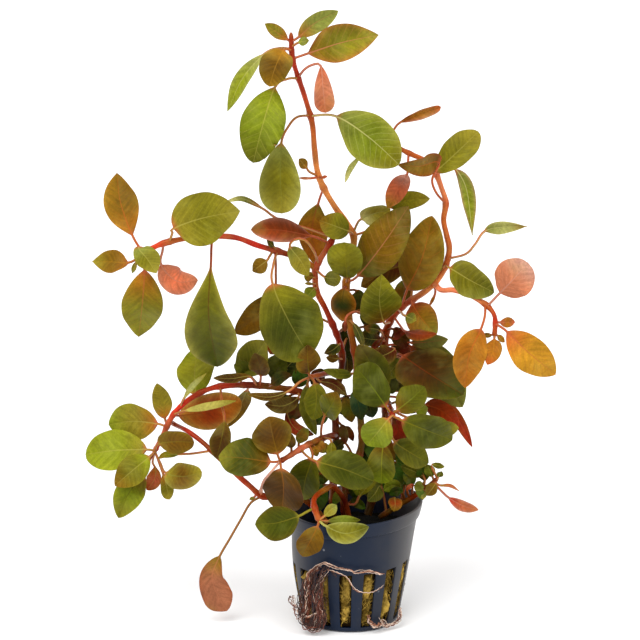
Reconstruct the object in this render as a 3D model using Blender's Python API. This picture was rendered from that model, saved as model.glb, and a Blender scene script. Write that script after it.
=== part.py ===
"""A ludwigia, a red and green pond plant, grown in a small net pot of rock wool."""
import math

import bmesh
import bpy
import numpy as np
from mathutils import Matrix

for old in list(bpy.data.objects):
    bpy.data.objects.remove(old, do_unlink=True)

# Driving sizes in millimetres
MM = 0.001
POT_HEIGHT = 48.0
POT_BASE_RADIUS = 19.7
POT_RIM_RADIUS = 26.8
POT_WALL = 1.3
POT_FLOOR = 1.6
RIM_BAND = 6.0
RIM_FLARE = 0.9
BASE_ROUND = 1.0
SLOT_COUNT = 15
SLOT_WIDTH_DEG = 13.3
SLOT_FIRST_DEG = -3.0
SLOT_BOTTOM = 2.0
SLOT_TOP = 26.0
POT_LEAN = 3.6
POT_TILT = 0.085
POT_INNER_STEP = 0.3
RIM_STEP_HEIGHT = 0.9
WOOL_TOP = 38.0
WOOL_COLUMNS = 20
WOOL_SLACK = 0.25
GAP = 0.35
LEAF_HALF_THICK = 0.32
LEAF_TIP_HALF = 0.25
LEAF_FULLNESS = 0.62
PETIOLE_RADIUS = 0.5
STEM_SIDES = 5
ROOT_SIDES = 6

# Leaves narrower than this grow from their stem's own surface, and wider ones start a gap beside it
GROWN_BELOW = 11.45

# Turns about the midrib, in degrees, that leaves take in turn
TURNS = (16.0, -20.0, 9.0, -24.0, 22.0, -12.0)

# The eye that the leaves were read from, in millimetres
EYE = np.array([-12.4, -1204.5, 459.85])


def ease(value, low, high):
    """0 below low, 1 above high and smooth between them."""
    share = np.clip((value - low) / (high - low), 0, 1)
    return share * share * (3 - 2 * share)


def spread(across, up):
    """How far the arms lean out of the plane of the photograph, and how much depths there are stretched."""
    high_left = -30.0 * ease(up, 95, 150) + 16.0 * (1 - ease(up, 80, 140))
    high_right = 20.0 * ease(up, 150, 190) - 22.0 * (1 - ease(up, 140, 180))
    high_right += 14.0 * (1 - ease(up, 75, 110))
    shift = high_left * ease(-across, 15, 80) + high_right * ease(across, 15, 65)
    above = max(ease(up, 58, 90), ease(abs(across), 34, 60) * ease(up, 45, 65))
    return shift * above, 1.0 + 0.35 * above


def place(point):
    """The point at a depth on the sight line through (across, up) on the plane of the pot's axis."""
    across, up, depth = point
    shift, stretch = spread(across, up)
    depth = depth * stretch + shift
    on_plane = np.array([across, 0.0, up])
    share = (depth - EYE[1]) / -EYE[1]
    return EYE + share * (on_plane - EYE)


def unit(vector):
    """The vector divided by its length."""
    return vector / max(np.linalg.norm(vector), 1e-9)


def curve_through(points, per_span=10):
    """A Catmull-Rom curve through the points, with the index of each point on it."""
    points = np.asarray(points, float)
    first = 2 * points[0] - points[1]
    last = 2 * points[-1] - points[-2]
    knots = np.vstack([first, points, last])
    t = np.linspace(0, 1, per_span, endpoint=False)[:, None]
    spans = []
    for k in range(1, len(knots) - 2):
        a, b, c, d = knots[k - 1:k + 3]
        bend = (2 * a - 5 * b + 4 * c - d) * t ** 2 + (3 * b - a - 3 * c + d) * t ** 3
        spans.append(0.5 * (2 * b + (c - a) * t + bend))
    return np.vstack(spans + [points[-1:]])


def lengths_along(curve):
    """The length of the curve up to each of its points."""
    steps = np.linalg.norm(np.diff(curve, axis=0), axis=1)
    return np.concatenate([[0], np.cumsum(steps)])


def at_lengths(curve, wanted):
    """Points and directions on the curve at the wanted lengths."""
    along = lengths_along(curve)
    spots = np.stack([np.interp(wanted, along, curve[:, k]) for k in range(3)], 1)
    ahead = np.stack([np.interp(np.add(wanted, 0.4), along, curve[:, k]) for k in range(3)], 1)
    behind = np.stack([np.interp(np.subtract(wanted, 0.4), along, curve[:, k]) for k in range(3)], 1)
    ways = ahead - behind
    return spots, ways / np.linalg.norm(ways, axis=1)[:, None]


def paint(name, colour, roughness):
    """A plain finish of one colour."""
    material = bpy.data.materials.new(name)
    material.use_nodes = True
    shader = material.node_tree.nodes["Principled BSDF"]
    shader.inputs["Base Color"].default_value = (*colour, 1.0)
    shader.inputs["Roughness"].default_value = roughness
    return material


def solid(name, verts, faces, material, smooth_deg=60):
    """A closed solid from points in millimetres."""
    mesh = bpy.data.meshes.new(name)
    mesh.from_pydata([tuple(v) for v in np.asarray(verts)], [], faces)
    shaped = bmesh.new()
    shaped.from_mesh(mesh)
    bmesh.ops.recalc_face_normals(shaped, faces=shaped.faces)
    shaped.to_mesh(mesh)
    shaped.free()
    mesh.materials.append(material)
    mesh.polygons.foreach_set("use_smooth", [True] * len(mesh.polygons))
    mesh.set_sharp_from_angle(angle=math.radians(smooth_deg))
    thing = bpy.data.objects.new(name, mesh)
    bpy.context.collection.objects.link(thing)
    return thing


def loft(rings):
    """Points and faces of a closed tube through rings of equal count."""
    count = len(rings[0])
    faces = [tuple(range(count - 1, -1, -1))]
    for row in range(len(rings) - 1):
        low = row * count
        for k in range(count):
            nxt = (k + 1) % count
            faces.append((low + k, low + nxt, low + count + nxt, low + count + k))
    top = (len(rings) - 1) * count
    faces.append(tuple(range(top, top + count)))
    return np.vstack(rings), faces


def tube(points, radius_from, radius_to, rows, sides=STEM_SIDES):
    """A round tube along the curve through the points, with its centre line and radii."""
    curve = curve_through(points)
    along = lengths_along(curve)
    wanted = np.linspace(0, along[-1], rows)
    centres, ways = at_lengths(curve, wanted)
    side = unit(np.cross(ways[0], [0.3, 1.0, 0.2]))
    rings = []
    radii = np.linspace(radius_from, radius_to, rows)
    angles = np.arange(sides) * 2 * math.pi / sides
    for centre, way, radius in zip(centres, ways, radii):
        side = unit(side - way * np.dot(side, way))
        other = np.cross(way, side)
        ring = centre + radius * (np.outer(np.cos(angles), side) + np.outer(np.sin(angles), other))
        rings.append(ring)
    verts, faces = loft(rings)
    return verts, faces, centres, radii


def ring_match(window, ring):
    """The order of a ring's four points that lies closest to the window's four corners."""
    orders = [[(start + way * k) % 4 for k in range(4)] for way in (1, -1) for start in range(4)]
    return min(orders, key=lambda order: np.sum((window - ring[order]) ** 2))


def grow(parent, row, share, towards, rings):
    """Opens a small window in one face of a stem and carries the rings of a petiole on from it."""
    verts = parent["verts"]
    best = None
    for (place_row, k), face in parent["free"].items():
        if abs(place_row - row) > 1:
            continue
        corners = np.array([verts[i] for i in face])
        middle = corners.mean(0)
        axis = 0.5 * (parent["centres"][place_row] + parent["centres"][place_row + 1])
        score = np.dot(unit(middle - axis), unit(towards - axis)) - 0.6 * abs(place_row - row)
        if best is None or score > best[0]:
            best = (score, (place_row, k), face, corners)
    key, face, corners = best[1:]
    length = np.linalg.norm(corners[3] - corners[0])
    half = min(0.5 / length, 0.3)
    along = min(max(share if key[0] == row else 0.5, half + 0.1), 0.9 - half)
    window = []
    for across, up in ((0.2, -half), (0.8, -half), (0.8, half), (0.2, half)):
        low = corners[0] + (corners[1] - corners[0]) * across
        high = corners[3] + (corners[2] - corners[3]) * across
        window.append(low + (high - low) * (along + up))
    order = ring_match(np.array(window), rings[0])
    rings = [np.array(window)] + [ring[order] for ring in rings]
    first = len(verts)
    for ring in rings:
        verts.extend(ring)
    del parent["free"][key]
    faces = parent["faces"]
    faces.remove(face)
    for k in range(4):
        nxt = (k + 1) % 4
        faces.append((face[k], face[nxt], first + nxt, first + k))
    for step in range(len(rings) - 1):
        low = first + 4 * step
        for k in range(4):
            nxt = (k + 1) % 4
            faces.append((low + k, low + nxt, low + 4 + nxt, low + 4 + k))
    top = len(verts) - 4
    faces.append((top, top + 1, top + 2, top + 3))


# Stems: round shoots and arms, each its own piece from fork to tip
STEM_RED = (0.33, 0.045, 0.02)
STEM_ORANGE = (0.45, 0.13, 0.035)
STEMS = []


def stem(name, points, radius_from, radius_to, rows, colour=STEM_RED, parent=None):
    """A stem along sight-line points, thinner to its end, that starts a gap off the side of its parent."""
    spots = [place(p) for p in points]
    if parent:
        nearest, share, spot = nearest_on(parent, spots[0])
        spots[0] = start_beside(parent, nearest, share, spot, spots[1], radius_from)
    verts, faces, centres, radii = tube(spots, radius_from, radius_to, rows)
    free = {}
    for number, face in enumerate(faces[1:-1]):
        free[(number // STEM_SIDES, number % STEM_SIDES)] = face
    made = {"name": name, "verts": list(verts), "faces": faces, "free": free}
    made.update(centres=centres, radii=radii, colour=colour)
    STEMS.append(made)
    return made


def nearest_on(parent, near):
    """The row, the share of the step after it and the spot on a stem's centre line nearest to a point."""
    centres = parent["centres"]
    best = None
    for row in range(len(centres) - 1):
        step = centres[row + 1] - centres[row]
        share = min(max(np.dot(near - centres[row], step) / np.dot(step, step), 0), 1)
        spot = centres[row] + step * share
        far = np.linalg.norm(near - spot)
        if best is None or far < best[0] - 1e-6:
            best = (far, row, share, spot)
    return best[1:]


def start_beside(parent, row, share, spot, towards, radius):
    """A start for a petiole or a branch, a gap off the side of its stem."""
    centres = parent["centres"]
    stem_radius = np.interp(row + share, np.arange(len(centres)), parent["radii"])
    way = unit(towards - spot)
    along = unit(centres[row + 1] - centres[row])
    across = max(math.sqrt(max(1 - np.dot(way, along) ** 2, 0)), 0.5)
    if row + share in (0, len(centres) - 1):
        across = 1.0
    return spot + way * (stem_radius + radius + GAP) / across


# Leaves: a round petiole that opens into a thin folded blade
def blade_shares(length):
    """Where a blade has its cross sections, as shares of its length: fewer on short blades."""
    if length < 10.5:
        return [0.45, 1.0]
    if length < 15.0:
        return [0.28, 0.72, 1.0]
    return [0.12, 0.36, 0.66, 0.9, 1.0]


def half_width(share, width, widest):
    """Half the width at a share of the blade: a sine whose crest is moved to the widest place."""
    if share >= 0.999:
        return LEAF_TIP_HALF
    if share <= 0:
        return PETIOLE_RADIUS
    power = math.log(0.5) / math.log(widest)
    return max(PETIOLE_RADIUS, 0.5 * width * math.sin(math.pi * share ** power) ** LEAF_FULLNESS)


def section(spot, way, half, roll, rise, thick):
    """Four points across a leaf, turned by roll about its midrib: left edge, crease, right edge, keel."""
    seen = unit(EYE - spot)
    face = unit(seen - way * np.dot(seen, way))
    side = np.cross(way, face)
    turn = math.radians(roll)
    top = face * math.cos(turn) + side * math.sin(turn)
    side = side * math.cos(turn) - face * math.sin(turn)
    left_edge = spot - side * half + top * rise / 2
    right_edge = spot + side * half + top * rise / 2
    crease = spot + top * (thick - rise / 2)
    keel = spot - top * (thick + rise / 2)
    return np.array([left_edge, crease, right_edge, keel])


def leaf(name, parent, petiole, blade, width, roll=0.0, fold=0.12, widest=0.5, colour=(0.12, 0.13, 0.01)):
    """A petiole and blade in one piece: a lens-shaped band along a curve, as wide as a leaf outline."""
    grown = width < GROWN_BELOW
    knots = [place(p) for p in petiole + blade]
    row, row_share, spot = nearest_on(parent, knots[0])
    knots[0] = spot if grown else start_beside(parent, row, row_share, spot, knots[1], PETIOLE_RADIUS)
    curve = curve_through(knots)
    along = lengths_along(curve)
    base_at = along[len(petiole) * 10]
    blade_length = along[-1] - base_at
    wanted = [along[k * 10] for k in range(len(petiole) + 1)]
    wanted += [base_at + share * blade_length for share in blade_shares(blade_length)]
    centres, ways = at_lengths(curve, np.array(wanted))
    if roll == 0.0:
        roll = TURNS[int(abs(petiole[0][0]) + abs(petiole[0][1])) % len(TURNS)]
    width = width / abs(math.cos(math.radians(roll)))
    rings = []
    for spot, way, length in zip(centres, ways, wanted):
        share = max((length - base_at) / blade_length, 0.0)
        half = half_width(share, width, widest)
        rise = fold * half if share > 0 else 0.0
        thick = PETIOLE_RADIUS + (LEAF_HALF_THICK - PETIOLE_RADIUS) * min(share * 4, 1.0)
        rings.append(section(spot, way, half, roll, rise, thick))
    if grown:
        grow(parent, row, row_share, knots[1], rings[1:])
        return
    verts, faces = loft(rings)
    solid(name, verts, faces, paint(name + "_skin", colour, 0.5))


# Net pot: a leaning round moulding with a flared rim band over a slotted wall
def lean(points):
    """Bends an upright shape to the right with height and lifts its right side."""
    points = np.array(points, float)
    height = np.clip(points[:, 2] / POT_HEIGHT, 0, 1)
    rise = height * height * (3 - 2 * height)
    points[:, 2] += rise * points[:, 0] * POT_TILT
    points[:, 0] += POT_LEAN * rise
    return points


def wall_radius(height):
    """Outer radius of the pot at a height."""
    return POT_BASE_RADIUS + (POT_RIM_RADIUS - RIM_FLARE - POT_BASE_RADIUS) * height / POT_HEIGHT


def net_pot():
    """Wall, rim band and floor as one closed solid on a grid of columns and levels."""
    pitch = 360.0 / SLOT_COUNT
    angles = []
    open_column = []
    for k in range(SLOT_COUNT):
        start = SLOT_FIRST_DEG + k * pitch - SLOT_WIDTH_DEG / 2
        angles += [start, start + SLOT_WIDTH_DEG / 2, start + SLOT_WIDTH_DEG]
        open_column += [True, True, False]
    angles = np.radians(angles)
    count = len(angles)
    band = POT_HEIGHT - RIM_BAND
    step = band + RIM_STEP_HEIGHT
    outer = [(0.0, POT_BASE_RADIUS - BASE_ROUND)]
    outer += [(height, wall_radius(height)) for height in (SLOT_BOTTOM, SLOT_TOP, band)]
    outer += [(step, wall_radius(band) + RIM_FLARE), (POT_HEIGHT, POT_RIM_RADIUS)]
    inner = [(POT_FLOOR, POT_BASE_RADIUS - POT_WALL)]
    inner += [(height, wall_radius(height) - POT_WALL) for height in (SLOT_BOTTOM, SLOT_TOP, band)]
    inner += [(step, wall_radius(band) - POT_WALL + POT_INNER_STEP)]
    inner += [(POT_HEIGHT, POT_RIM_RADIUS - POT_WALL)]
    verts = []
    for height, radius in outer + inner:
        verts += [(radius * math.sin(a), -radius * math.cos(a), height) for a in angles]
    levels = len(outer)
    top = levels - 1

    def out(level, k):
        return level * count + k % count

    def ins(level, k):
        return (levels + level) * count + k % count

    faces = []
    for k in range(count):
        for level in range(top):
            if level == 1 and open_column[k]:
                continue
            faces.append((out(level, k), out(level, k + 1), out(level + 1, k + 1), out(level + 1, k)))
            faces.append((ins(level, k + 1), ins(level, k), ins(level + 1, k), ins(level + 1, k + 1)))
        faces.append((out(top, k), out(top, k + 1), ins(top, k + 1), ins(top, k)))
        if open_column[k]:
            faces.append((out(1, k), out(1, k + 1), ins(1, k + 1), ins(1, k)))
            faces.append((ins(2, k), ins(2, k + 1), out(2, k + 1), out(2, k)))
            if not open_column[k - 1]:
                faces.append((out(1, k), ins(1, k), ins(2, k), out(2, k)))
            if not open_column[(k + 1) % count]:
                faces.append((ins(1, k + 1), out(1, k + 1), out(2, k + 1), ins(2, k + 1)))
    verts += [(0.0, 0.0, 0.0), (0.0, 0.0, POT_FLOOR)]
    under = len(verts) - 2
    floor = len(verts) - 1
    for k in range(count):
        faces.append((under, out(0, k + 1), out(0, k)))
        faces.append((floor, ins(0, k), ins(0, k + 1)))
    return solid("net_pot", lean(verts), faces, paint("pot_plastic", (0.018, 0.027, 0.05), 0.45), 35)


net_pot()


# Rock wool plug: fills the pot up to a little under the rim, lumpy on top
def wool_radius(height):
    """Radius of the wool at a height: a gap inside the pot's wall."""
    return wall_radius(height) - POT_WALL - GAP - WOOL_SLACK


def ring_of(radius, heights, count):
    """A level ring of points whose heights are given one by one."""
    angles = 2 * math.pi * np.arange(count) / count
    return np.stack([radius * np.sin(angles), -radius * np.cos(angles), np.broadcast_to(heights, count)], 1)


def rock_wool():
    """A plug whose radius follows the inside of the wall, with an uneven top."""
    count = WOOL_COLUMNS
    levels = [POT_FLOOR + GAP, 14.0, 27.0, WOOL_TOP - 2.5]
    rings = [ring_of(wool_radius(height), height, count) for height in levels]
    angles = 2 * math.pi * np.arange(count) / count
    bumps = 0.8 * np.sin(3 * angles + 1.0) + 0.5 * np.cos(5 * angles)
    rings.append(ring_of(wool_radius(WOOL_TOP) * 0.93, WOOL_TOP - 1.5 + bumps, count))
    rings.append(ring_of(wool_radius(WOOL_TOP) * 0.55, WOOL_TOP - 0.3 + bumps, count))
    verts, faces = loft(rings)
    top = len(verts)
    verts = np.vstack([verts, [[0.0, 0.0, WOOL_TOP + 0.4]]])
    last = faces.pop()
    for k in range(count):
        faces.append((last[k], last[(k + 1) % count], top))
    return solid("rock_wool", lean(verts), faces, paint("wool", (0.30, 0.20, 0.05), 0.95))


rock_wool()

# Roots: a tangle with a loop at the front left, and a loop at the right
ROOT_BROWN = (0.20, 0.09, 0.045)
ROOT_PALE = (0.45, 0.30, 0.18)


def root(name, points, radius_from, radius_to, rows, colour=ROOT_BROWN):
    """A strand of roots as one round tube."""
    verts, faces = tube([place(p) for p in points], radius_from, radius_to, rows, ROOT_SIDES)[:2]
    return solid(name, verts, faces, paint(name + "_skin", colour, 0.7))


root("root_tangle",
     [(-12.2, 20.6, -24.2), (-16, 17.6, -22.6), (-17, 10, -21.6), (-17.4, 3, -21), (-18.2, -2.5, -20.6),
      (-15.5, -5.2, -21.8), (-11.6, -3, -23), (-12, 3, -23.4), (-13, 10, -23.6)],
     1.7, 1.5, 12)
root("root_strand",
     [(-9.6, 21.4, -25), (-5, 20.3, -26.2), (0, 19, -26.8), (6, 18.6, -26.6), (13.5, 17.6, -24.2)],
     0.8, 0.5, 7)
root("root_loop_right",
     [(12.6, -1, -18.6), (14.6, -4.3, -17.8), (18, -3.6, -15.4), (20.4, -0.6, -13.2), (20.3, 3, -12.4)],
     0.9, 0.8, 8, ROOT_PALE)

# Leaf colours
OLIVE = (0.13, 0.13, 0.012)
GREEN = (0.11, 0.17, 0.012)
BRIGHT = (0.22, 0.27, 0.02)
PALE = (0.26, 0.30, 0.07)
GREY = (0.15, 0.18, 0.06)
DARK = (0.035, 0.05, 0.012)
BROWN = (0.10, 0.045, 0.008)
RUST = (0.25, 0.07, 0.012)
ORANGE = (0.42, 0.17, 0.02)
PINK = (0.45, 0.15, 0.08)
RED = (0.30, 0.03, 0.015)

# Tall stem, from the wool to the top of the plant
tall = stem("stem_tall",
            [(-2.5, 42, 0), (-2.5, 54, 0), (0.5, 62, 3), (3.5, 69, 5), (4.5, 77, 6), (3.8, 86, 7),
             (3, 97, 8), (2, 109, 9), (0, 121, 9), (-1.5, 131, 10), (-2, 141, 10), (0, 151, 11),
             (1, 160, 12), (-2, 166, 12), (-6, 171.5, 11), (-11, 180, 9), (-13.5, 187, 8),
             (-14.6, 196, 6), (-15.5, 206, 5), (-18.5, 217, 3), (-21.5, 226, 1), (-23.3, 233, 0),
             (-23.7, 242, 0)],
            1.35, 0.5, 20, STEM_ORANGE)
leaf("leaf_tall_top_right", tall, [(-22.9, 238.6, 0)],
     [(-20.5, 240, -1), (-13, 245, -3), (-5.4, 250.7, -4)], 8, 10, 0.2, 0.5, ORANGE)
leaf("leaf_tall_top_left", tall, [(-23.9, 238.6, 0)],
     [(-25.6, 239.6, 1), (-33, 245.5, 4)], 5, 0, 0.3, 0.5, PINK)
leaf("leaf_tall_right_upper", tall, [(-22.8, 231.8, 0)],
     [(-16.5, 234, -2), (-3, 238, -5), (10, 241, -3)], 14.5, -8, 0.12, 0.5, OLIVE)
leaf("leaf_tall_left_upper", tall, [(-23.8, 235, 0)],
     [(-27.5, 235.2, -3), (-31, 229, -7), (-32, 221, -8)], 12.5, 0, 0.1, 0.5, BROWN)
leaf("leaf_tall_pale", tall, [(-23.5, 235.6, 0), (-28, 236, 5)],
     [(-33, 233.6, 8), (-40, 225, 11), (-47.5, 211, 14)], 7.5, 10, 0.15, 0.5, PALE)
leaf("leaf_tall_left", tall, [(-21.2, 223.5, 1), (-25, 223.8, -1)],
     [(-29.7, 220.5, -3), (-36, 206, -8), (-38.5, 190.5, -10)], 17, 8, 0.08, 0.5, BRIGHT)
leaf("leaf_tall_hanging", tall, [(-20.7, 224, 1), (-18.5, 227, -1), (-15, 229.8, -3)],
     [(-11.5, 228.5, -4), (-10, 220, -6), (-10.4, 210.3, -6)], 7.8, 180, 0.1, 0.55, PINK)
leaf("leaf_tall_folded", tall, [(-16, 209, 4), (-21.5, 208.5, 0), (-25, 204.5, -2)],
     [(-27.3, 198, -3), (-28.4, 186, -6), (-22, 171, -8)], 14.5, 15, 0.2, 0.5, GREY)
leaf("leaf_tall_right", tall, [(-15.3, 209, 4)],
     [(-6, 208.7, -1), (8, 202, -6), (19.8, 189.5, -9)], 20.5, 0, 0.08, 0.5, GREEN)
leaf("leaf_tall_behind", tall, [(-11, 180, 9)],
     [(-13.4, 173.5, 13), (-15, 162, 16), (-13, 147, 17)], 13.5, 0, 0.12, 0.45, OLIVE)
leaf("leaf_tall_bud", tall, [(-13.7, 184.3, 8), (-16.6, 186.5, 6)],
     [(-17.6, 188, 5), (-20.6, 191.7, 4)], 4, 0, 0.1, 0.5, GREEN)
leaf("leaf_tall_small", tall, [(-22.6, 236.5, 0)],
     [(-20.5, 237.3, -2), (-16.3, 238, -4)], 3.5, 0, 0.1, 0.5, GREEN)
leaf("leaf_tall_stub", tall, [(-13, 184, 8)],
     [(-11.6, 184.2, 6), (-9.6, 184.7, 5)], 1.4, 0, 0.1, 0.5, RED)
leaf("leaf_tall_thin", tall, [(-13, 184.2, 8)],
     [(-16, 183.9, 5), (-20.7, 184, 4)], 1.2, 0, 0.1, 0.5, RED)
leaf("leaf_mid_left", tall, [(1, 161, 12)],
     [(-0.8, 162.3, 8), (-6.5, 164.6, 6), (-12.5, 166.8, 7)], 10.5, 0, 0.1, 0.5, OLIVE)
leaf("leaf_mid_striped", tall, [(1.4, 161.5, 12), (2.4, 165.5, 11)],
     [(4, 167.3, 9), (9, 169, 7), (15.5, 171.2, 9)], 8.5, 20, 0.35, 0.4, GREY)
leaf("leaf_mid_olive", tall, [(1.2, 160.6, 12), (7, 163, 14), (11, 168, 15)],
     [(15, 172, 14), (22.5, 175, 12), (31, 175.6, 10)], 7.5, 10, 0.15, 0.5, OLIVE)
leaf("leaf_mid_heart", tall, [(-2, 141.3, 10)],
     [(-1.6, 143, 5), (-2.4, 151, -1), (-2.8, 157.8, -2)], 13.5, 0, 0.12, 0.62, GREY)
leaf("leaf_mid_hollow", tall, [(-1.8, 139, 10)],
     [(-2.4, 137.8, 7), (-3.2, 132, 6), (-3.6, 125.4, 7)], 8.5, 0, -0.3, 0.5, RUST)
leaf("leaf_mid_narrow", tall, [(-0.6, 126, 10)],
     [(0.8, 124.5, 6), (3.2, 120, 4), (5, 114.5, 3)], 3.4, 0, 0.1, 0.5, GREEN)
leaf("leaf_mid_spear", tall, [(2.4, 104.3, 8)],
     [(0.4, 103.4, 4), (-5, 103.3, 1), (-11, 105, -1)], 4.4, 0, 0.1, 0.4, GREEN)
leaf("leaf_mid_wide", tall, [(-2, 141.4, 10)],
     [(2.6, 144, 8), (12.5, 157, 1), (22.6, 172.4, 2)], 17.5, 0, 0.1, 0.5, BROWN)
leaf("leaf_pot_rolled", tall, [(-2.5, 48.5, 0), (1.8, 48, -6)],
     [(3.6, 51.5, -9), (6.5, 55, -12), (11.5, 60.5, -13)], 3.4, 30, 0.1, 0.5, BRIGHT)

# Middle red stem, beside the tall one
middle = stem("stem_middle",
              [(-7, 43, 4), (-7, 60, 7), (-6, 76, 10), (-6.2, 85, 11), (-5.5, 96, 12), (-3.6, 107, 14),
               (-4, 114, 15), (-5.8, 120, 14), (-10, 130, 12), (-13.5, 137, 10), (-14.3, 142, 9),
               (-14, 147.5, 8), (-9.5, 155.5, 7), (-7, 159.5, 7)],
              1.25, 0.9, 16)
leaf("leaf_middle_rust", middle, [(-8.6, 157.2, 7), (-11.5, 158.8, 5)],
     [(-15, 160.2, 3), (-27, 162.6, -1), (-39.3, 162.7, 0)], 10.5, 10, 0.12, 0.5, RUST)
leaf("leaf_middle_slender", middle, [(-7, 160, 7), (-16, 163, 9), (-26, 166, 8), (-31, 168.5, 7)],
     [(-34, 171.5, 6), (-42, 176.6, 5), (-50, 174.5, 4)], 2.6, 0, 0.1, 0.5, PALE)
leaf("leaf_middle_arched", middle,
     [(-13.9, 149.5, 7), (-14.8, 154, -1), (-18, 158.4, -6), (-22, 159.2, -7)],
     [(-24.4, 156, -5), (-21, 150, -4), (-17, 143.6, -3)], 9.5, 160, 0.1, 0.5, OLIVE)
leaf("leaf_middle_green", middle, [(-13.8, 146.6, 8)],
     [(-10, 143.7, 5), (-7, 142.8, 4), (-3.9, 143, 3)], 6, 0, 0.1, 0.5, GREEN)
leaf("leaf_middle_bud_a", middle, [(-14.2, 143.5, 9)],
     [(-15.2, 143.6, 7), (-18.7, 143.8, 6)], 4.2, 0, 0.1, 0.5, OLIVE)
leaf("leaf_middle_bud_b", middle, [(-13.8, 138.8, 10)],
     [(-14.6, 138.6, 7), (-17.4, 134.4, 6)], 5.2, 0, 0.1, 0.5, BRIGHT)
leaf("leaf_middle_dark_bud", middle, [(-14.2, 140.6, 9)],
     [(-15.4, 140.7, 7), (-18.4, 141, 6)], 1.3, 0, 0.1, 0.5, BROWN)
leaf("leaf_middle_spear", middle, [(-4.4, 116, 15)],
     [(-4.8, 115.5, 12), (-7.5, 113.2, 10), (-10.6, 111.9, 9)], 4.5, 20, 0.1, 0.4, DARK)
leaf("leaf_middle_small", middle, [(-3.8, 109.6, 14)],
     [(-4.9, 109.7, 11), (-9.8, 110.2, 8)], 3.8, 0, 0.1, 0.5, RUST)
leaf("leaf_middle_dark", middle, [(-3.9, 112, 15)],
     [(-1.8, 118, 20), (-1.5, 111, 22), (-1.2, 103, 22)], 8, 0, 0.1, 0.5, DARK)
leaf("leaf_middle_back", middle, [(-7.5, 124, 13)],
     [(-18, 128, 14), (-26, 120, 14), (-31, 110.4, 13)], 15, 180, 0.1, 0.5, RUST)

# Upper left arm, from the middle stem
arm_left = stem("arm_upper_left",
                [(-14.2, 147.3, 8.5), (-17.5, 149.6, 8), (-21, 151.5, 6), (-27, 153.5, 4),
                 (-37, 156.5, 1), (-47, 160, -2), (-60, 160, -4), (-69, 158.8, -4), (-77, 156.5, -3),
                 (-84, 152, -2)],
                1.1, 0.8, 10, parent=middle)
leaf("leaf_arm_left_upright", arm_left, [(-82.5, 153, -2.4)],
     [(-85.3, 159.5, -1), (-88.5, 172, 3), (-91.3, 186, 9)], 13.5, 10, 0.12, 0.5, ORANGE)
leaf("leaf_arm_left_end", arm_left, [(-84, 152, -2)],
     [(-87.5, 150.4, 0), (-95, 150.6, 4), (-102.5, 150, 7)], 9.5, 0, 0.12, 0.5, OLIVE)
leaf("leaf_arm_left_down", arm_left, [(-83.3, 152.4, -2)],
     [(-82, 147.5, -5), (-82, 134, -10), (-84.8, 118.8, -13)], 16, -8, 0.1, 0.5, GREEN)
leaf("leaf_arm_left_small", arm_left, [(-80.5, 154.8, -3)],
     [(-79.8, 153.2, -6), (-77, 150.5, -9), (-74.5, 147.5, -12)], 8, 0, 0.12, 0.5, GREY)
leaf("leaf_arm_left_wide", arm_left, [(-72.3, 158, -4), (-71, 161.5, -6)],
     [(-69.3, 163.6, -7), (-57, 168, -11), (-44.1, 170.8, -13)], 20, 0, 0.1, 0.5, PALE)
leaf("leaf_arm_left_pink", arm_left, [(-74.4, 157.3, -3.4), (-75, 154.3, -1)],
     [(-74.6, 151.6, 1), (-69.5, 145.5, 4), (-61.5, 143.5, 6)], 10.5, 180, 0.1, 0.5, PINK)
leaf("leaf_arm_left_long", arm_left, [(-55.2, 159.9, -3.4), (-55.6, 155, -7)],
     [(-55.6, 149, -9), (-57, 127, -14), (-53.6, 106.3, -12)], 21, 6, 0.08, 0.5, OLIVE)
leaf("leaf_arm_left_tiny", arm_left, [(-84, 152, -2)],
     [(-85.5, 149.8, -3), (-87.2, 145.2, -3)], 2, 0, 0.1, 0.5, GREEN)
leaf("leaf_arm_left_round", arm_left, [(-31, 154.7, 3), (-32.8, 151.6, 1)],
     [(-33.6, 150.3, 0), (-39.2, 146, -2)], 6.2, 0, 0.1, 0.5, OLIVE)
leaf("leaf_arm_left_dark", arm_left, [(-30, 154.4, 3)],
     [(-30.8, 156, 1), (-33.4, 158.6, 0)], 2.6, 0, 0.1, 0.5, DARK)
leaf("leaf_arm_left_great", arm_left, [(-29.4, 154, 3.2), (-31, 148.5, -3)],
     [(-31.3, 140.6, -7), (-25.5, 126, -12), (-18, 110.5, -10)], 25.5, 0, 0.1, 0.5, GREEN)

# Right stem, from the wool to the upper right
right = stem("stem_right",
             [(7, 43.5, 6), (10, 55, 9), (13, 66, 12), (14, 78, 14), (14, 92, 16), (13.2, 106, 18),
              (13.5, 118, 18), (16, 126, 17), (20, 131, 16), (25, 134.5, 15), (30, 138, 13),
              (34, 142, 12), (37.5, 148, 11), (39, 155, 11), (37.8, 161, 11), (36.6, 167, 10),
              (37.4, 174, 8), (35.6, 180, 8), (33, 186.5, 8), (29, 191, 7), (24, 193.4, 7),
              (20, 195.4, 8), (16, 198.2, 9), (13, 201, 9)],
             1.4, 0.75, 21)
leaf("leaf_right_rolled", right, [(14.6, 199.4, 9), (16.2, 202.6, 8)],
     [(18.5, 206, 7), (24, 210, 6), (33.7, 213.4, 3)], 3.8, 25, 0.5, 0.55, ORANGE)
leaf("leaf_right_slender", right, [(13, 200.6, 9), (8, 198, 9)],
     [(3.4, 192.8, 7), (0, 188, 6), (-2.4, 182.3, 5)], 2.4, 0, 0.1, 0.5, GREY)
leaf("leaf_right_bright", right, [(33.6, 185.6, 8)],
     [(33.6, 187.6, 4), (41, 195, 0), (48.6, 203, 0)], 13, 0, 0.1, 0.55, BRIGHT)
leaf("leaf_right_hanging", right, [(33.6, 186, 8), (36.8, 188.4, 10)],
     [(40, 187.6, 9), (45.2, 181, 8), (47.2, 161, 6)], 5.6, 0, 0.15, 0.35, GREEN)
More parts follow.
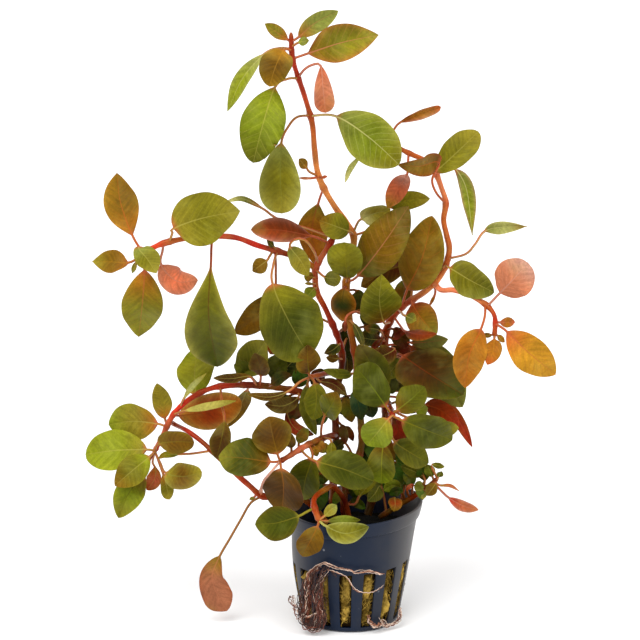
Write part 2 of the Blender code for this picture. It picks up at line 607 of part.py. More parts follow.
leaf("leaf_right_canoe", right, [(36.8, 173.6, 8), (33.6, 178, 4), (31.9, 183.5, 1)],
     [(31.6, 187.4, 0), (26, 190, -4), (18, 189.6, -6)], 7.5, -25, 0.2, 0.5, BROWN)
leaf("leaf_right_folded", right, [(22.4, 193.8, 7), (22.2, 188, 5)],
     [(21.2, 183.6, 4), (18.6, 178.5, 1), (15.8, 172.8, 0)], 8, 15, 0.3, 0.5, RUST)
leaf("leaf_right_olive", right, [(20.4, 131.4, 16)],
     [(22.2, 138.5, 11), (27.2, 152, 6), (31.6, 168.6, 5)], 15.5, 0, 0.1, 0.5, OLIVE)
leaf("leaf_right_back", right, [(23.6, 134, 15), (24.4, 142, 20)],
     [(23, 148, 22), (14, 146, 22), (4, 139.6, 21)], 10.5, 180, 0.1, 0.5, BROWN)
leaf("leaf_right_green", right, [(15.4, 124.8, 17), (14.6, 124.6, 10)],
     [(13, 125.2, 4), (11.5, 134, -2), (12.2, 144.6, -3)], 17.5, 0, 0.1, 0.48, GREEN)
leaf("leaf_right_side", right, [(38, 148.2, 11)],
     [(40, 147.4, 8), (48, 143, 4), (56.4, 137.6, 3)], 12.5, 0, 0.1, 0.5, GREEN)
leaf("leaf_right_winged", right, [(39, 151, 11), (45.5, 153, 9), (49.2, 157, 8)],
     [(52.6, 161.4, 7), (60, 164.6, 4), (68.7, 164.4, 2)], 6.4, 20, 0.2, 0.35, PALE)
leaf("leaf_right_brown", right, [(24.4, 134.2, 15)],
     [(24.6, 132.4, 12), (28.5, 127, 8), (34, 119.4, 8)], 15, 0, 0.1, 0.5, RUST)
leaf("leaf_right_pink", right, [(17.2, 127.5, 17), (20, 123, 12)],
     [(22, 121, 5), (28, 119.4, -3), (34.4, 120, -4)], 4.6, 150, 0.1, 0.5, PINK)
leaf("leaf_right_grey", right, [(13.8, 119, 18), (18, 118, 16)],
     [(22, 117.2, 13), (30, 117.4, 11), (38.7, 117.4, 11)], 5.2, 0, 0.1, 0.45, GREY)
leaf("leaf_right_inner", right, [(19, 130, 16.5), (20, 129, 8), (20.8, 128, 0)],
     [(22, 127.4, -3), (26, 125.6, -5)], 4.6, 0, 0.1, 0.5, GREEN)
leaf("leaf_right_beak", right, [(37.6, 148.8, 11)],
     [(36.4, 147.4, 9), (33, 147.6, 7)], 3, 0, 0.1, 0.4, PALE)
leaf("leaf_right_stub", right, [(33, 140.4, 12)],
     [(33.6, 137, 14), (31.2, 131.3, 16)], 1.4, 0, 0.1, 0.5, ORANGE)
leaf("leaf_right_hooked", right, [(13.6, 120.6, 18), (8, 124.5, 13), (3, 129, 4), (-0.9, 128.2, 1)],
     [(-2.3, 125.4, 0), (-2.4, 121, 0)], 2.6, 0, 0.1, 0.5, RED)
leaf("leaf_right_red_inner", right, [(13.5, 117.6, 18)],
     [(11.5, 121.4, 11), (5.5, 122.7, 6)], 4.4, 0, 0.1, 0.5, RUST)
leaf("leaf_right_dark_inner", right, [(13.5, 117, 18)],
     [(12.5, 117.6, 13), (7, 118, 9), (1.5, 119.5, 8)], 6.4, 0, 0.1, 0.5, DARK)
leaf("leaf_right_shadow", right, [(13.4, 113, 18), (15.4, 114, 14)],
     [(17.5, 113.6, 10), (12.5, 111, 6), (7.5, 112, 5)], 8, 0, 0.1, 0.5, RED)
leaf("leaf_right_great", right, [(13.3, 110.4, 18), (18, 111.4, 14)],
     [(20.8, 110.8, 8), (32, 103.5, 0), (45.4, 94.6, -2)], 22.5, 0, 0.08, 0.5, BROWN)
leaf("leaf_right_margin", right, [(13.4, 115, 18), (18, 115.6, 18)],
     [(24, 114.6, 16), (35, 105, 12), (45, 89.4, 10)], 18.6, 0, 0.08, 0.5, PALE)
leaf("leaf_right_wedge", right, [(13.2, 108, 18), (17.4, 110, 15)],
     [(19.6, 109.6, 12), (17, 105.5, 8), (13.6, 101, 6)], 6.6, 0, 0.1, 0.5, GREY)
leaf("leaf_right_red_wing", right, [(14, 94, 16), (22, 93, 10)],
     [(30, 90.4, 7), (37, 87.5, 5), (43.4, 81.6, 5)], 8.5, 0, 0.1, 0.4, RUST)
leaf("leaf_right_sickle", right, [(14, 96, 16), (27, 96, 18)],
     [(37, 92.4, 18), (44.8, 84, 15), (49.3, 72.6, 14)], 5, 0, 0.1, 0.4, RED)

# Right arm, from the right stem
arm_right = stem("arm_right",
                 [(33.4, 140.5, 12), (36, 138.2, 9), (41, 138.2, 7), (47, 136.2, 5), (52, 133.4, 4),
                  (55.5, 130.6, 3), (57.6, 126.5, 2), (57.5, 119, 2)],
                 0.95, 0.7, 9, STEM_ORANGE, parent=right)
leaf("leaf_arm_right_pink", arm_right, [(54.6, 131.6, 3.4), (57.4, 134.8, 2)],
     [(59.4, 137, 1), (65, 143, -3), (71, 149, -3)], 16.5, 180, 0.1, 0.55, PINK)
leaf("leaf_arm_right_hanging", arm_right, [(53.6, 132.3, 3.6), (53.5, 127.5, 0)],
     [(52.8, 122.2, -2), (49, 111, -7), (46, 97.4, -7)], 12, 0, 0.12, 0.42, ORANGE)
leaf("leaf_arm_right_small", arm_right, [(57.5, 119.2, 2)],
     [(57.4, 117.8, 0), (57, 113, -3), (54.8, 107.2, -4)], 7.2, 0, 0.1, 0.42, ORANGE)
leaf("leaf_arm_right_long", arm_right, [(57.8, 124.4, 2), (60.4, 122.6, 0)],
     [(62.4, 121, -1), (71, 113, -6), (82.2, 103, -6)], 15, 0, 0.1, 0.5, ORANGE)
leaf("leaf_arm_right_dark", arm_right, [(57.7, 125, 2)],
     [(59.6, 124.8, 4), (65.6, 124.9, 7)], 5.2, 0, 0.1, 0.5, RED)
leaf("leaf_arm_right_bit_a", arm_right, [(57.5, 120, 2)],
     [(56.4, 119.6, 4), (52.6, 119.4, 5)], 2, 0, 0.1, 0.5, OLIVE)
leaf("leaf_arm_right_bit_b", arm_right, [(57.6, 120, 2)],
     [(58.6, 119.4, 4), (61.6, 116.6, 5)], 2.4, 0, 0.1, 0.5, OLIVE)

# Lower left arm, from the middle stem
arm_low = stem("arm_lower_left",
               [(-6.2, 89, 11.5), (-14, 93.4, 9), (-24, 96.6, 5), (-37, 98.5, 0), (-50, 98.4, -4),
                (-57, 97, -5), (-63, 94, -6), (-68, 90.2, -7), (-72, 85.5, -8), (-76, 77.4, -9),
                (-79.3, 70.6, -10)],
               1.15, 0.8, 13, parent=middle)
leaf("leaf_low_upright", arm_low, [(-74, 81.5, -8.6)],
     [(-75, 84.6, -5), (-76.4, 91, -1), (-78, 99.3, 1)], 8, 0, 0.12, 0.45, ORANGE)
leaf("leaf_low_round", arm_low, [(-74.2, 81, -8.6)],
     [(-78, 82.3, -7), (-88, 83.2, -2), (-97.7, 82, 1)], 15.5, 0, 0.1, 0.55, OLIVE)
leaf("leaf_low_bright", arm_low, [(-79.3, 70.8, -10)],
     [(-82.5, 71.4, -10), (-95, 71.2, -6), (-107.3, 69.4, -2)], 16.3, 0, 0.1, 0.55, BRIGHT)
leaf("leaf_low_brown", arm_low, [(-79.3, 70.6, -10)],
     [(-81.4, 68.4, -13), (-88, 62.8, -16), (-95.6, 56, -17)], 11.5, 0, 0.12, 0.5, BROWN)
leaf("leaf_low_pointed", arm_low, [(-79.3, 70.6, -10), (-82, 65.6, -9)],
     [(-83.6, 60.4, -8), (-89.5, 53, -10), (-95.3, 42.3, -9)], 11.5, 0, 0.15, 0.5, GREEN)
leaf("leaf_low_grey", arm_low, [(-79.3, 70.8, -10)],
     [(-77.4, 72.6, -14), (-70.5, 75, -17), (-63.4, 76, -17)], 9.5, 0, 0.1, 0.5, GREY)
leaf("leaf_low_striped", arm_low, [(-79.3, 70.6, -10), (-77, 65.5, -12)],
     [(-75, 62.6, -14), (-68, 60.4, -16), (-60.4, 60.8, -15)], 10.5, 0, 0.12, 0.5, OLIVE)
leaf("leaf_low_drop", arm_low, [(-79.2, 70.8, -10), (-77.4, 65.2, -7)],
     [(-76.2, 61, -6), (-75.2, 56, -5), (-74.5, 50.2, -5)], 5, 0, 0.1, 0.5, GREY)
leaf("leaf_low_red", arm_low, [(-79.3, 70.8, -10), (-80.2, 66, -4)],
     [(-80, 63, -3), (-80.6, 55.6, -4)], 5, 160, 0.1, 0.5, RED)
leaf("leaf_low_canoe", arm_low, [(-71.2, 86.6, -7.6)],
     [(-69.4, 85.8, -3), (-57, 87.6, 1), (-44.2, 92.6, 3)], 14, 170, 0.1, 0.5, ORANGE)
leaf("leaf_low_edge", arm_low, [(-71.7, 86.2, -8)],
     [(-67, 87.4, -11), (-57, 88.6, -13), (-46.4, 91.6, -13)], 2.4, 0, 0.1, 0.5, PALE)
leaf("leaf_low_spear", arm_low, [(-68.8, 89.9, -7)],
     [(-67.2, 93, -9), (-63.4, 98.6, -12), (-58.2, 103.4, -13)], 2.4, 0, 0.1, 0.5, PALE)
leaf("leaf_low_yellow", arm_low, [(-60.6, 95.4, -5.6)],
     [(-60.8, 96.4, -1), (-61.4, 105, 3), (-60.6, 115, 3)], 16.8, 0, 0.08, 0.5, BRIGHT)
leaf("leaf_low_down", arm_low, [(-52.5, 98, -4.6), (-52, 91, -10)],
     [(-51, 83.6, -13), (-52, 74, -17), (-54.4, 64, -18)], 9.5, 0, 0.12, 0.45, OLIVE)
leaf("leaf_low_olive", arm_low, [(-43, 98.8, -2)],
     [(-44.4, 101.6, 2), (-42, 110, 6), (-35, 117, 7)], 13, 0, 0.1, 0.5, OLIVE)
leaf("leaf_low_tip", arm_low, [(-36.6, 98.4, 0)],
     [(-36.2, 102.6, -5), (-37, 107, -7), (-38.6, 112, -6)], 8, 0, 0.1, 0.5, BROWN)
leaf("leaf_low_lying", arm_low, [(-38, 98.6, 0)],
     [(-40.8, 102.2, -7), (-48, 101.4, -10), (-55.2, 101.6, -11)], 4, 0, 0.1, 0.5, DARK)
leaf("leaf_low_hidden", arm_low, [(-41, 98.8, -1)],
     [(-41.6, 96.6, 4), (-43.4, 90, 8), (-49.6, 80.6, 9)], 8, 0, 0.1, 0.45, GREEN)
leaf("leaf_low_shade", arm_low, [(-30, 97.8, 3), (-30, 100, 8)],
     [(-29, 102, 10), (-25, 107, 10), (-20.5, 110.8, 9)], 9, 0, 0.1, 0.5, DARK)
leaf("leaf_low_under", arm_low, [(-22, 96, 6)],
     [(-21, 93.6, 4), (-27, 90, 1), (-34.6, 90.6, 0)], 6.4, 0, 0.1, 0.5, BROWN)
leaf("leaf_low_crescent", arm_low, [(-16, 94.2, 8), (-22, 92, 10)],
     [(-25.6, 87.6, 9), (-22.6, 80.6, 7), (-15, 77.6, 6)], 5, 0, 0.1, 0.5, RED)

# Middle shoot, behind the left shoot
inner = stem("shoot_middle",
             [(-4.4, 102.6, 13), (-8, 103.6, 7), (-12, 103, 1), (-16.5, 102, -4)],
             0.9, 0.7, 5, STEM_ORANGE, parent=middle)
leaf("leaf_inner_upright", inner, [(-16.6, 102, -4)],
     [(-16.8, 103.8, -8), (-17.2, 109, -11), (-17.4, 115.4, -11)], 9.6, 0, 0.12, 0.5, OLIVE)
leaf("leaf_inner_edge", inner, [(-16.5, 102, -4), (-20.5, 100, -10)],
     [(-25.5, 95.8, -13), (-33, 93.6, -15), (-41.6, 94.8, -16)], 3.4, 0, 0.1, 0.5, OLIVE)
leaf("leaf_inner_grey", inner, [(-16, 102, -4)],
     [(-14.6, 99.6, -6), (-14, 92, -8), (-15.4, 84, -8)], 9.8, 0, 0.1, 0.5, GREY)
leaf("leaf_inner_green", inner, [(-16.6, 102, -4)],
     [(-17.4, 99, -1), (-17.6, 88, 1), (-14, 77.6, 2)], 6, 0, 0.1, 0.5, GREEN)
leaf("leaf_inner_dark", inner, [(-14.5, 102.4, -1)],
     [(-12.6, 100.4, 1), (-7, 99, 1), (-1.6, 94.4, 0)], 4.6, 0, 0.1, 0.5, RED)

# Left shoot, ending in a rosette above the rim
shoot_left = stem("shoot_left",
                  [(-6, 77.4, 10), (-9, 77, 4), (-12, 75.8, -2), (-16, 74.2, -8), (-20.5, 71.5, -14),
                   (-25, 68.6, -19), (-28.5, 66.4, -23)],
                  1.1, 0.85, 8, parent=middle)
leaf("leaf_left_dark", shoot_left, [(-28.5, 66.4, -23)],
     [(-32.4, 65.8, -24), (-43, 66, -25), (-53, 67.6, -23)], 15, 0, 0.1, 0.5, GREEN)
leaf("leaf_left_up", shoot_left, [(-28.5, 66.8, -23)],
     [(-29.6, 69.4, -24), (-31.6, 77, -21), (-33, 85.4, -16)], 16, 0, 0.1, 0.5, BROWN)
leaf("leaf_left_down", shoot_left, [(-28.5, 66.3, -23)],
     [(-28.2, 63.4, -26.5), (-27.4, 55, -24), (-28, 44.6, -19)], 17.5, 0, 0.08, 0.52, BROWN)
leaf("leaf_left_stalk", shoot_left, [(-28.5, 66.4, -23), (-31.8, 62.4, -27), (-35, 58.4, -27)],
     [(-36.2, 55.4, -26), (-36.4, 52, -26)], 1.6, 0, 0.1, 0.5, PINK)
leaf("leaf_left_back", shoot_left, [(-17, 73.6, -9.5), (-15.8, 70.6, -12)],
     [(-15.6, 67.6, -13), (-18.4, 59, -13), (-19.8, 50, -9)], 13, 0, 0.1, 0.5, GREEN)
leaf("leaf_left_great", shoot_left, [(-20.3, 71.4, -14), (-17.4, 68.4, -20)],
     [(-13.8, 66.4, -22), (-2, 63, -24), (9.2, 58, -23)], 15, 0, 0.08, 0.5, BROWN)
leaf("leaf_left_ear", shoot_left, [(-11, 76.2, -1), (-9, 76, -6)],
     [(-7.8, 74.6, -9), (-8, 67.6, -11)], 3.8, 0, 0.1, 0.5, BRIGHT)
leaf("leaf_left_tall", shoot_left, [(-12, 75.8, -2), (-11.8, 81, -8)],
     [(-10.4, 86, -13), (-8, 90.4, -16), (-5.6, 95.6, -16)], 10.6, 0, 0.12, 0.5, OLIVE)

# Front shoot, pointing at the camera, with its rosette
front = stem("shoot_front",
             [(14, 90.6, 16), (14.6, 91, 9), (15.4, 90, 0), (16, 88.2, -8), (16.5, 86.6, -16),
              (16.8, 85.8, -20)],
             1.1, 0.9, 6, parent=right)
leaf("leaf_front_up", front, [(16, 87, -18)],
     [(14.2, 89, -18), (9, 97, -16), (2.4, 105.6, -9)], 15.5, 0, 0.1, 0.52, BRIGHT)
leaf("leaf_front_right_up", front, [(17.2, 86.6, -18)],
     [(18.6, 88, -19), (24, 93, -18), (29.8, 98.6, -13)], 11.5, 0, 0.12, 0.48, BRIGHT)
leaf("leaf_front_right", front, [(17, 85.8, -20)],
     [(20.6, 83.8, -21), (30, 79.6, -20), (41, 75.4, -14)], 14.8, 0, 0.08, 0.5, OLIVE)
leaf("leaf_front_left_down", front, [(16.2, 85.6, -20)],
     [(14.8, 84.2, -22), (11, 79.4, -23), (6.4, 73.4, -20)], 12, 0, 0.12, 0.48, BRIGHT)
leaf("leaf_front_down", front, [(16.2, 86.4, -17), (14.8, 80, -15)],
     [(13.2, 74, -15), (12.4, 65, -17), (12.6, 57, -14)], 11.4, 0, 0.1, 0.55, BRIGHT)
leaf("leaf_front_low_right", front, [(16.4, 87, -14), (16.2, 80, -8)],
     [(17.6, 75, -8), (24, 70.4, -9), (31.6, 65.8, -6)], 11, 0, 0.1, 0.5, GREY)
leaf("leaf_front_back_right", front, [(16, 88.4, -8), (26, 83.4, -5)],
     [(33, 80.4, -4), (38, 79.6, -4), (44.4, 79, -1)], 8, 0, 0.1, 0.5, PALE)
leaf("leaf_front_ear", front, [(16.2, 87.8, -11), (22, 87.8, -10)],
     [(26, 87.8, -9), (31, 89, -8)], 6, 0, 0.1, 0.5, GREEN)
leaf("leaf_front_back_up", front, [(14.9, 90.8, 5)],
     [(12.6, 96, 1), (8, 107, -2), (3, 115.6, -2)], 13, 0, 0.1, 0.5, OLIVE)

# Low left stem, out over the rim and up
low_left = stem("stem_low_left",
                [(-10, 40, -3), (-16, 48, -5), (-23, 52, -7), (-30, 51.4, -9), (-36, 51.6, -11),
                 (-41, 56, -12), (-46, 60.6, -13), (-51, 65.6, -13), (-56, 70.6, -12), (-60, 74.6, -11),
                 (-66, 79.3, -9), (-71, 82, -3)],
                1.2, 0.7, 12)
leaf("leaf_low_left_linked", low_left, [(-56.4, 70.8, -12), (-64, 69.7, -12)],
     [(-69.6, 69.4, -13), (-75, 69.2, -14), (-77.8, 67.6, -14)], 2.8, 0, 0.1, 0.5, GREEN)
leaf("leaf_low_left_twisted", low_left,
     [(-36, 51.2, -11), (-40.6, 48.6, -12), (-44.6, 41.6, -13), (-49, 33.6, -13)],
     [(-53.4, 25.6, -12), (-56.6, 17, -11), (-54.6, 9, -10), (-50.6, 1.9, -9)], 12, 10, 0.15, 0.72, PINK)
leaf("leaf_low_left_bud", low_left, [(-38, 53, -11.4)],
     [(-39, 51.2, -9), (-41, 50, -8)], 1.6, 0, 0.1, 0.5, GREEN)

# Front stem, hooked over the front of the rim
hook = stem("stem_front",
            [(0, 40, -5), (-2.6, 50, -8), (-7, 55.6, -13), (-10, 54.6, -18), (-14, 51.6, -23),
             (-15, 49, -26), (-14.4, 45.6, -28.8), (-12.6, 40.8, -30.6)],
            1.0, 0.9, 9, STEM_ORANGE)
leaf("leaf_hook_left", hook, [(-14.7, 46.6, -28.4), (-18, 44.7, -30)],
     [(-21, 43, -31), (-30, 40.2, -33), (-39, 39.2, -32)], 13, 0, 0.1, 0.52, OLIVE)
leaf("leaf_hook_down", hook, [(-12.8, 41, -30.6)],
     [(-13.4, 38.6, -31.4), (-16, 32.6, -31.6), (-19.6, 25.6, -29)], 10.5, 0, 0.12, 0.5, ORANGE)
leaf("leaf_hook_right", hook, [(-12.6, 40.8, -30.6)],
     [(-9.8, 38.6, -33), (-2, 35.6, -35), (7.4, 38.3, -35)], 8.6, 0, 0.15, 0.45, PALE)
leaf("leaf_hook_right_upper", hook, [(-12.6, 41.4, -30.4)],
     [(-9.4, 40.8, -31), (-3, 41.4, -32), (3.9, 41.2, -32)], 3.6, 0, 0.1, 0.5, BRIGHT)
leaf("leaf_hook_pale", hook, [(-12.8, 41.4, -30.4), (-11.6, 42.2, -31)],
     [(-10.6, 43, -31), (-8, 45.6, -31), (-5.6, 47.6, -30)], 4.4, 0, 0.1, 0.6, PALE)

# Rim shoot at the right, with its small leaves
rim = stem("shoot_rim",
           [(12, 42.5, 2), (20, 48, 0), (25, 51, -2), (29, 54, -4), (33, 56.8, -5), (35.4, 59.4, -5)],
           0.9, 0.6, 7, STEM_ORANGE)
leaf("leaf_rim_pink", rim, [(33.6, 57.2, -5), (37, 53.6, -6)],
     [(40.2, 50.6, -7), (46, 46.6, -9), (52.4, 45.6, -9)], 5.6, 0, 0.15, 0.5, PINK)
leaf("leaf_rim_narrow", rim, [(34, 57.6, -5)],
     [(36.2, 56.2, -3), (40.4, 56, -1), (44, 53.9, 0)], 2, 0, 0.1, 0.5, ORANGE)
leaf("leaf_rim_top", rim, [(35.2, 59.2, -5), (33.4, 63, -5)],
     [(33, 65, -5), (38, 64, -5)], 2.6, 0, 0.1, 0.5, OLIVE)
leaf("leaf_rim_brown", rim, [(33.4, 57, -5)],
     [(33, 55.6, -8), (30.6, 52.4, -9)], 4, 0, 0.1, 0.5, BROWN)
leaf("leaf_rim_grey", rim, [(29.6, 54.4, -4)],
     [(29.6, 53.8, -7), (29.4, 50.2, -9)], 3, 0, 0.1, 0.5, GREY)
leaf("leaf_rim_green", rim, [(34, 57.8, -5)],
     [(33.2, 59.8, -3), (31, 65, -2)], 4.4, 0, 0.1, 0.5, GREEN)
leaf("leaf_rim_dark", rim, [(35, 59, -5)],
     [(35.6, 59.8, -7), (37, 62, -8)], 2.6, 0, 0.1, 0.5, DARK)
leaf("leaf_rim_inner", rim, [(29, 54, -4), (30, 57, 0)],
     [(29.6, 60, 2), (25, 62.4, 3), (20.4, 64.4, 4)], 5.2, 0, 0.1, 0.5, GREEN)
leaf("leaf_rim_amber", rim, [(18.6, 47, 0.4)],
     [(18, 50.6, -6), (18.2, 47.8, -10), (17.6, 45, -11)], 5.6, 0, 0.1, 0.5, ORANGE)
leaf("leaf_rim_mouth", rim, [(14.6, 44.6, 1.4)],
     [(12.4, 55.6, 0), (10, 52.6, -5), (7, 49.4, -8)], 6.4, 0, 0.1, 0.5, DARK)
leaf("leaf_rim_mouth_green", rim, [(22, 49.4, -1)],
     [(20, 54.4, 2), (17, 56, 0), (13.4, 54, -1)], 5.4, 0, 0.1, 0.5, GREEN)

# Every stem is made once its narrow leaves have grown from it
for made in STEMS:
    solid(made["name"], made["verts"], made["faces"], paint(made["name"] + "_skin", made["colour"], 0.4))

# Everything above is in millimetres, and the part is in metres
for thing in bpy.data.objects:
    thing.data.transform(Matrix.Scale(MM, 4))
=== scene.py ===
"""Looks of a ludwigia that grows in a slotted net pot of rock wool."""
import math

import bpy
import numpy as np
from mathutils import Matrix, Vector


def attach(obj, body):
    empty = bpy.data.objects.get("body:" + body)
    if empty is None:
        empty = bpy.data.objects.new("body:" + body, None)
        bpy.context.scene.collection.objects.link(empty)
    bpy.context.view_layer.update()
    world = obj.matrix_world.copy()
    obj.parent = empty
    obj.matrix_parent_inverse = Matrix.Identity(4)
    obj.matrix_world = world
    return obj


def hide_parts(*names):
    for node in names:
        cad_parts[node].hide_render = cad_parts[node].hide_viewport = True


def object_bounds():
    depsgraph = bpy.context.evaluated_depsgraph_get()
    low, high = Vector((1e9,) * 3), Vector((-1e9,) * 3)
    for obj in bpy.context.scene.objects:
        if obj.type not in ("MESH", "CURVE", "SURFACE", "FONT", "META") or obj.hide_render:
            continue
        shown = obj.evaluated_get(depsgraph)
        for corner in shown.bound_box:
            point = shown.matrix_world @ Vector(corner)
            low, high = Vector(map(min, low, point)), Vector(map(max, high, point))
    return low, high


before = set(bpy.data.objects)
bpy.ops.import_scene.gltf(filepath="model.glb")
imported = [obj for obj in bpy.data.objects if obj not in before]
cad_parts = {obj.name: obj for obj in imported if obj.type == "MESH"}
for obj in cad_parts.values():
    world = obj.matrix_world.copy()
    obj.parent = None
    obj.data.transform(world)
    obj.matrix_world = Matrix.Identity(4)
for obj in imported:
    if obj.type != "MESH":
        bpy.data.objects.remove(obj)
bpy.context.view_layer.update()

# Net pot
# One thin injection moulding of dark slate-blue polypropylene: a flat floor, a wall with fifteen slots in
# its lower half and a flared rim band. It leans a little to the right, and its right side stands higher.
MM = 0.001
POT_HEIGHT = 48.0
POT_BASE_RADIUS = 19.7
POT_RIM_RADIUS = 26.8
POT_WALL = 1.3
POT_FLOOR = 1.6
RIM_BAND = 6.0
RIM_FLARE = 0.9
SLOT_COUNT = 15
SLOT_WIDTH_DEG = 12.4
SLOT_FIRST_DEG = -6.0
SLOT_BOTTOM = 2.0
SLOT_TOP = 26.0
POT_LEAN = 2.6
POT_BULGE = 1.0
POT_TILT = 0.085
SLOT_COLUMNS = 6
BAR_COLUMNS = 5
SLOT_ROWS = 12
POT_EDGE_ROUND = 0.22
PLASTIC_BLUE = "#0b1a30"
PLASTIC_GREY = "#2a2c33"
# The pale rim light painted at both sides of the pot.
PLASTIC_PAINTED_RIM_LIGHT = "#5f5a54"
LIME_MARKS = "#7c7f88"


def linear(code):
    """sRGB hex to linear: c / 12.92 up to 0.04045, and ((c + 0.055) / 1.055) to the power 2.4 above it."""
    c = np.array([int(code[k:k + 2], 16) for k in (1, 3, 5)]) / 255
    return np.append(np.where(c <= 0.04045, c / 12.92, ((c + 0.055) / 1.055) ** 2.4), 1.0)


def new_material(name):
    """A new material, with its node tree and its shader."""
    material = bpy.data.materials.new(name)
    material.use_nodes = True
    return material, material.node_tree, material.node_tree.nodes["Principled BSDF"]


def add(tree, kind, inputs=None, out=0, **settings):
    """Adds a shader node with its settings, gives inputs a value or a link, and returns one output."""
    node = tree.nodes.new("ShaderNode" + kind)
    for key, value in settings.items():
        setattr(node, key, value)
    for key, value in (inputs or {}).items():
        if isinstance(value, bpy.types.NodeSocket):
            tree.links.new(value, node.inputs[key])
        else:
            node.inputs[key].default_value = value
    return node.outputs[out]


def ease(value, low, high):
    """0 below low, 1 above high and 3s^2 - 2s^3 between them."""
    share = np.clip((value - low) / (high - low), 0, 1)
    return share * share * (3 - 2 * share)


def lattice(cell, seed):
    """A number from 0 to 1 for each whole-number cell: the fraction of a large sine of its three
    numbers."""
    mixed = cell @ np.array([12.9898, 78.233, 37.719]) + seed * 5.31
    return np.modf(np.abs(np.sin(mixed) * 43758.5453))[0]


def noise(points, size, seed=0):
    """Smooth noise from -1 to 1: lattice values blended over cubes of the given size in millimetres."""
    scaled = np.asarray(points, float) / size + 1000.0
    cell = np.floor(scaled)
    part = scaled - cell
    part = part * part * (3 - 2 * part)
    total = np.zeros(scaled.shape[:-1])
    for corner in np.ndindex(2, 2, 2):
        corner = np.array(corner)
        weight = np.prod(np.where(corner, part, 1 - part), axis=-1)
        total += weight * lattice(cell + corner, seed)
    return 2 * total - 1


def make_piece(name, surfaces, materials, nodes, smooth_deg=60):
    """One mesh piece of several surfaces in millimetres. It rides on the plant, stands for the nodes and
    takes the given materials. A surface has points, quads, triangles, a material number and point values."""
    starts = np.cumsum([0] + [len(s["points"]) for s in surfaces[:-1]])
    points = np.vstack([s["points"] for s in surfaces]) * MM
    quads = np.vstack([s["quads"] + start for s, start in zip(surfaces, starts)])
    none = np.zeros((0, 3), int)
    triangles = np.vstack([s.get("triangles", none) + start for s, start in zip(surfaces, starts)])
    numbers = [np.full(len(s["quads"]), s.get("material", 0)) for s in surfaces]
    numbers += [np.full(len(s.get("triangles", none)), s.get("material", 0)) for s in surfaces]
    sizes = np.concatenate([np.full(len(quads), 4), np.full(len(triangles), 3)])
    corners = np.concatenate([quads.ravel(), triangles.ravel()]).astype(np.int32)
    mesh = bpy.data.meshes.new(name)
    mesh.vertices.add(len(points))
    mesh.vertices.foreach_set("co", points.ravel())
    mesh.loops.add(len(corners))
    mesh.loops.foreach_set("vertex_index", corners)
    mesh.polygons.add(len(sizes))
    mesh.polygons.foreach_set("loop_start", np.concatenate([[0], np.cumsum(sizes)[:-1]]).astype(np.int32))
    mesh.update(calc_edges=True)
    for material in materials:
        mesh.materials.append(material)
    mesh.polygons.foreach_set("material_index", np.concatenate(numbers).astype(np.int32))
    for key, kind, field in (("tint", "FLOAT_COLOR", "color"), ("rib", "FLOAT_COLOR", "color"),
                             ("blade", "FLOAT_VECTOR", "vector")):
        if key in surfaces[0]:
            values = np.vstack([s[key] for s in surfaces])
            mesh.attributes.new(key, kind, "POINT").data.foreach_set(field, values.ravel())
    mesh.polygons.foreach_set("use_smooth", np.ones(len(sizes), bool))
    mesh.set_sharp_from_angle(angle=math.radians(smooth_deg))
    piece = bpy.data.objects.new(name, mesh)
    bpy.context.scene.collection.objects.link(piece)
    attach(piece, "root")
    if nodes:
        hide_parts(*nodes)
    return piece


def lean(points):
    """Moves an upright shape to the right by the cube of its height and lifts its right side near the
    rim."""
    points = np.array(points, float)
    height = np.clip(points[..., 2] / POT_HEIGHT, 0, 1)
    rise = height * height * (3 - 2 * height)
    points[..., 2] += rise * points[..., 0] * POT_TILT
    points[..., 0] += POT_LEAN * height ** 3
    return points


def wall_radius(height):
    """Outer radius of the pot at a height: a straight line from base to rim, plus a bulge of sin(pi h /
    H)."""
    share = np.asarray(height) / POT_HEIGHT
    bulge = POT_BULGE * np.sin(math.pi * share)
    return POT_BASE_RADIUS + (POT_RIM_RADIUS - RIM_FLARE - POT_BASE_RADIUS) * share + bulge


def turned(profile, angles):
    """Points of a profile of (height, radius) turned about Z, in rows of one height."""
    height, radius = np.array(profile).T
    return np.stack([np.outer(radius, np.sin(angles)), -np.outer(radius, np.cos(angles)),
                     np.outer(height, np.ones(len(angles)))], -1)


def pot_columns():
    """The angles of the pot's columns, and which of them open into a slot."""
    pitch = 360.0 / SLOT_COUNT
    starts = SLOT_FIRST_DEG + pitch * np.arange(SLOT_COUNT)[:, None] - SLOT_WIDTH_DEG / 2
    slot = starts + SLOT_WIDTH_DEG * np.arange(SLOT_COLUMNS) / SLOT_COLUMNS
    bar = starts + SLOT_WIDTH_DEG + (pitch - SLOT_WIDTH_DEG) * np.arange(BAR_COLUMNS) / BAR_COLUMNS
    angles = np.radians(np.hstack([slot, bar]).ravel())
    return angles, np.tile([True] * SLOT_COLUMNS + [False] * BAR_COLUMNS, SLOT_COUNT)


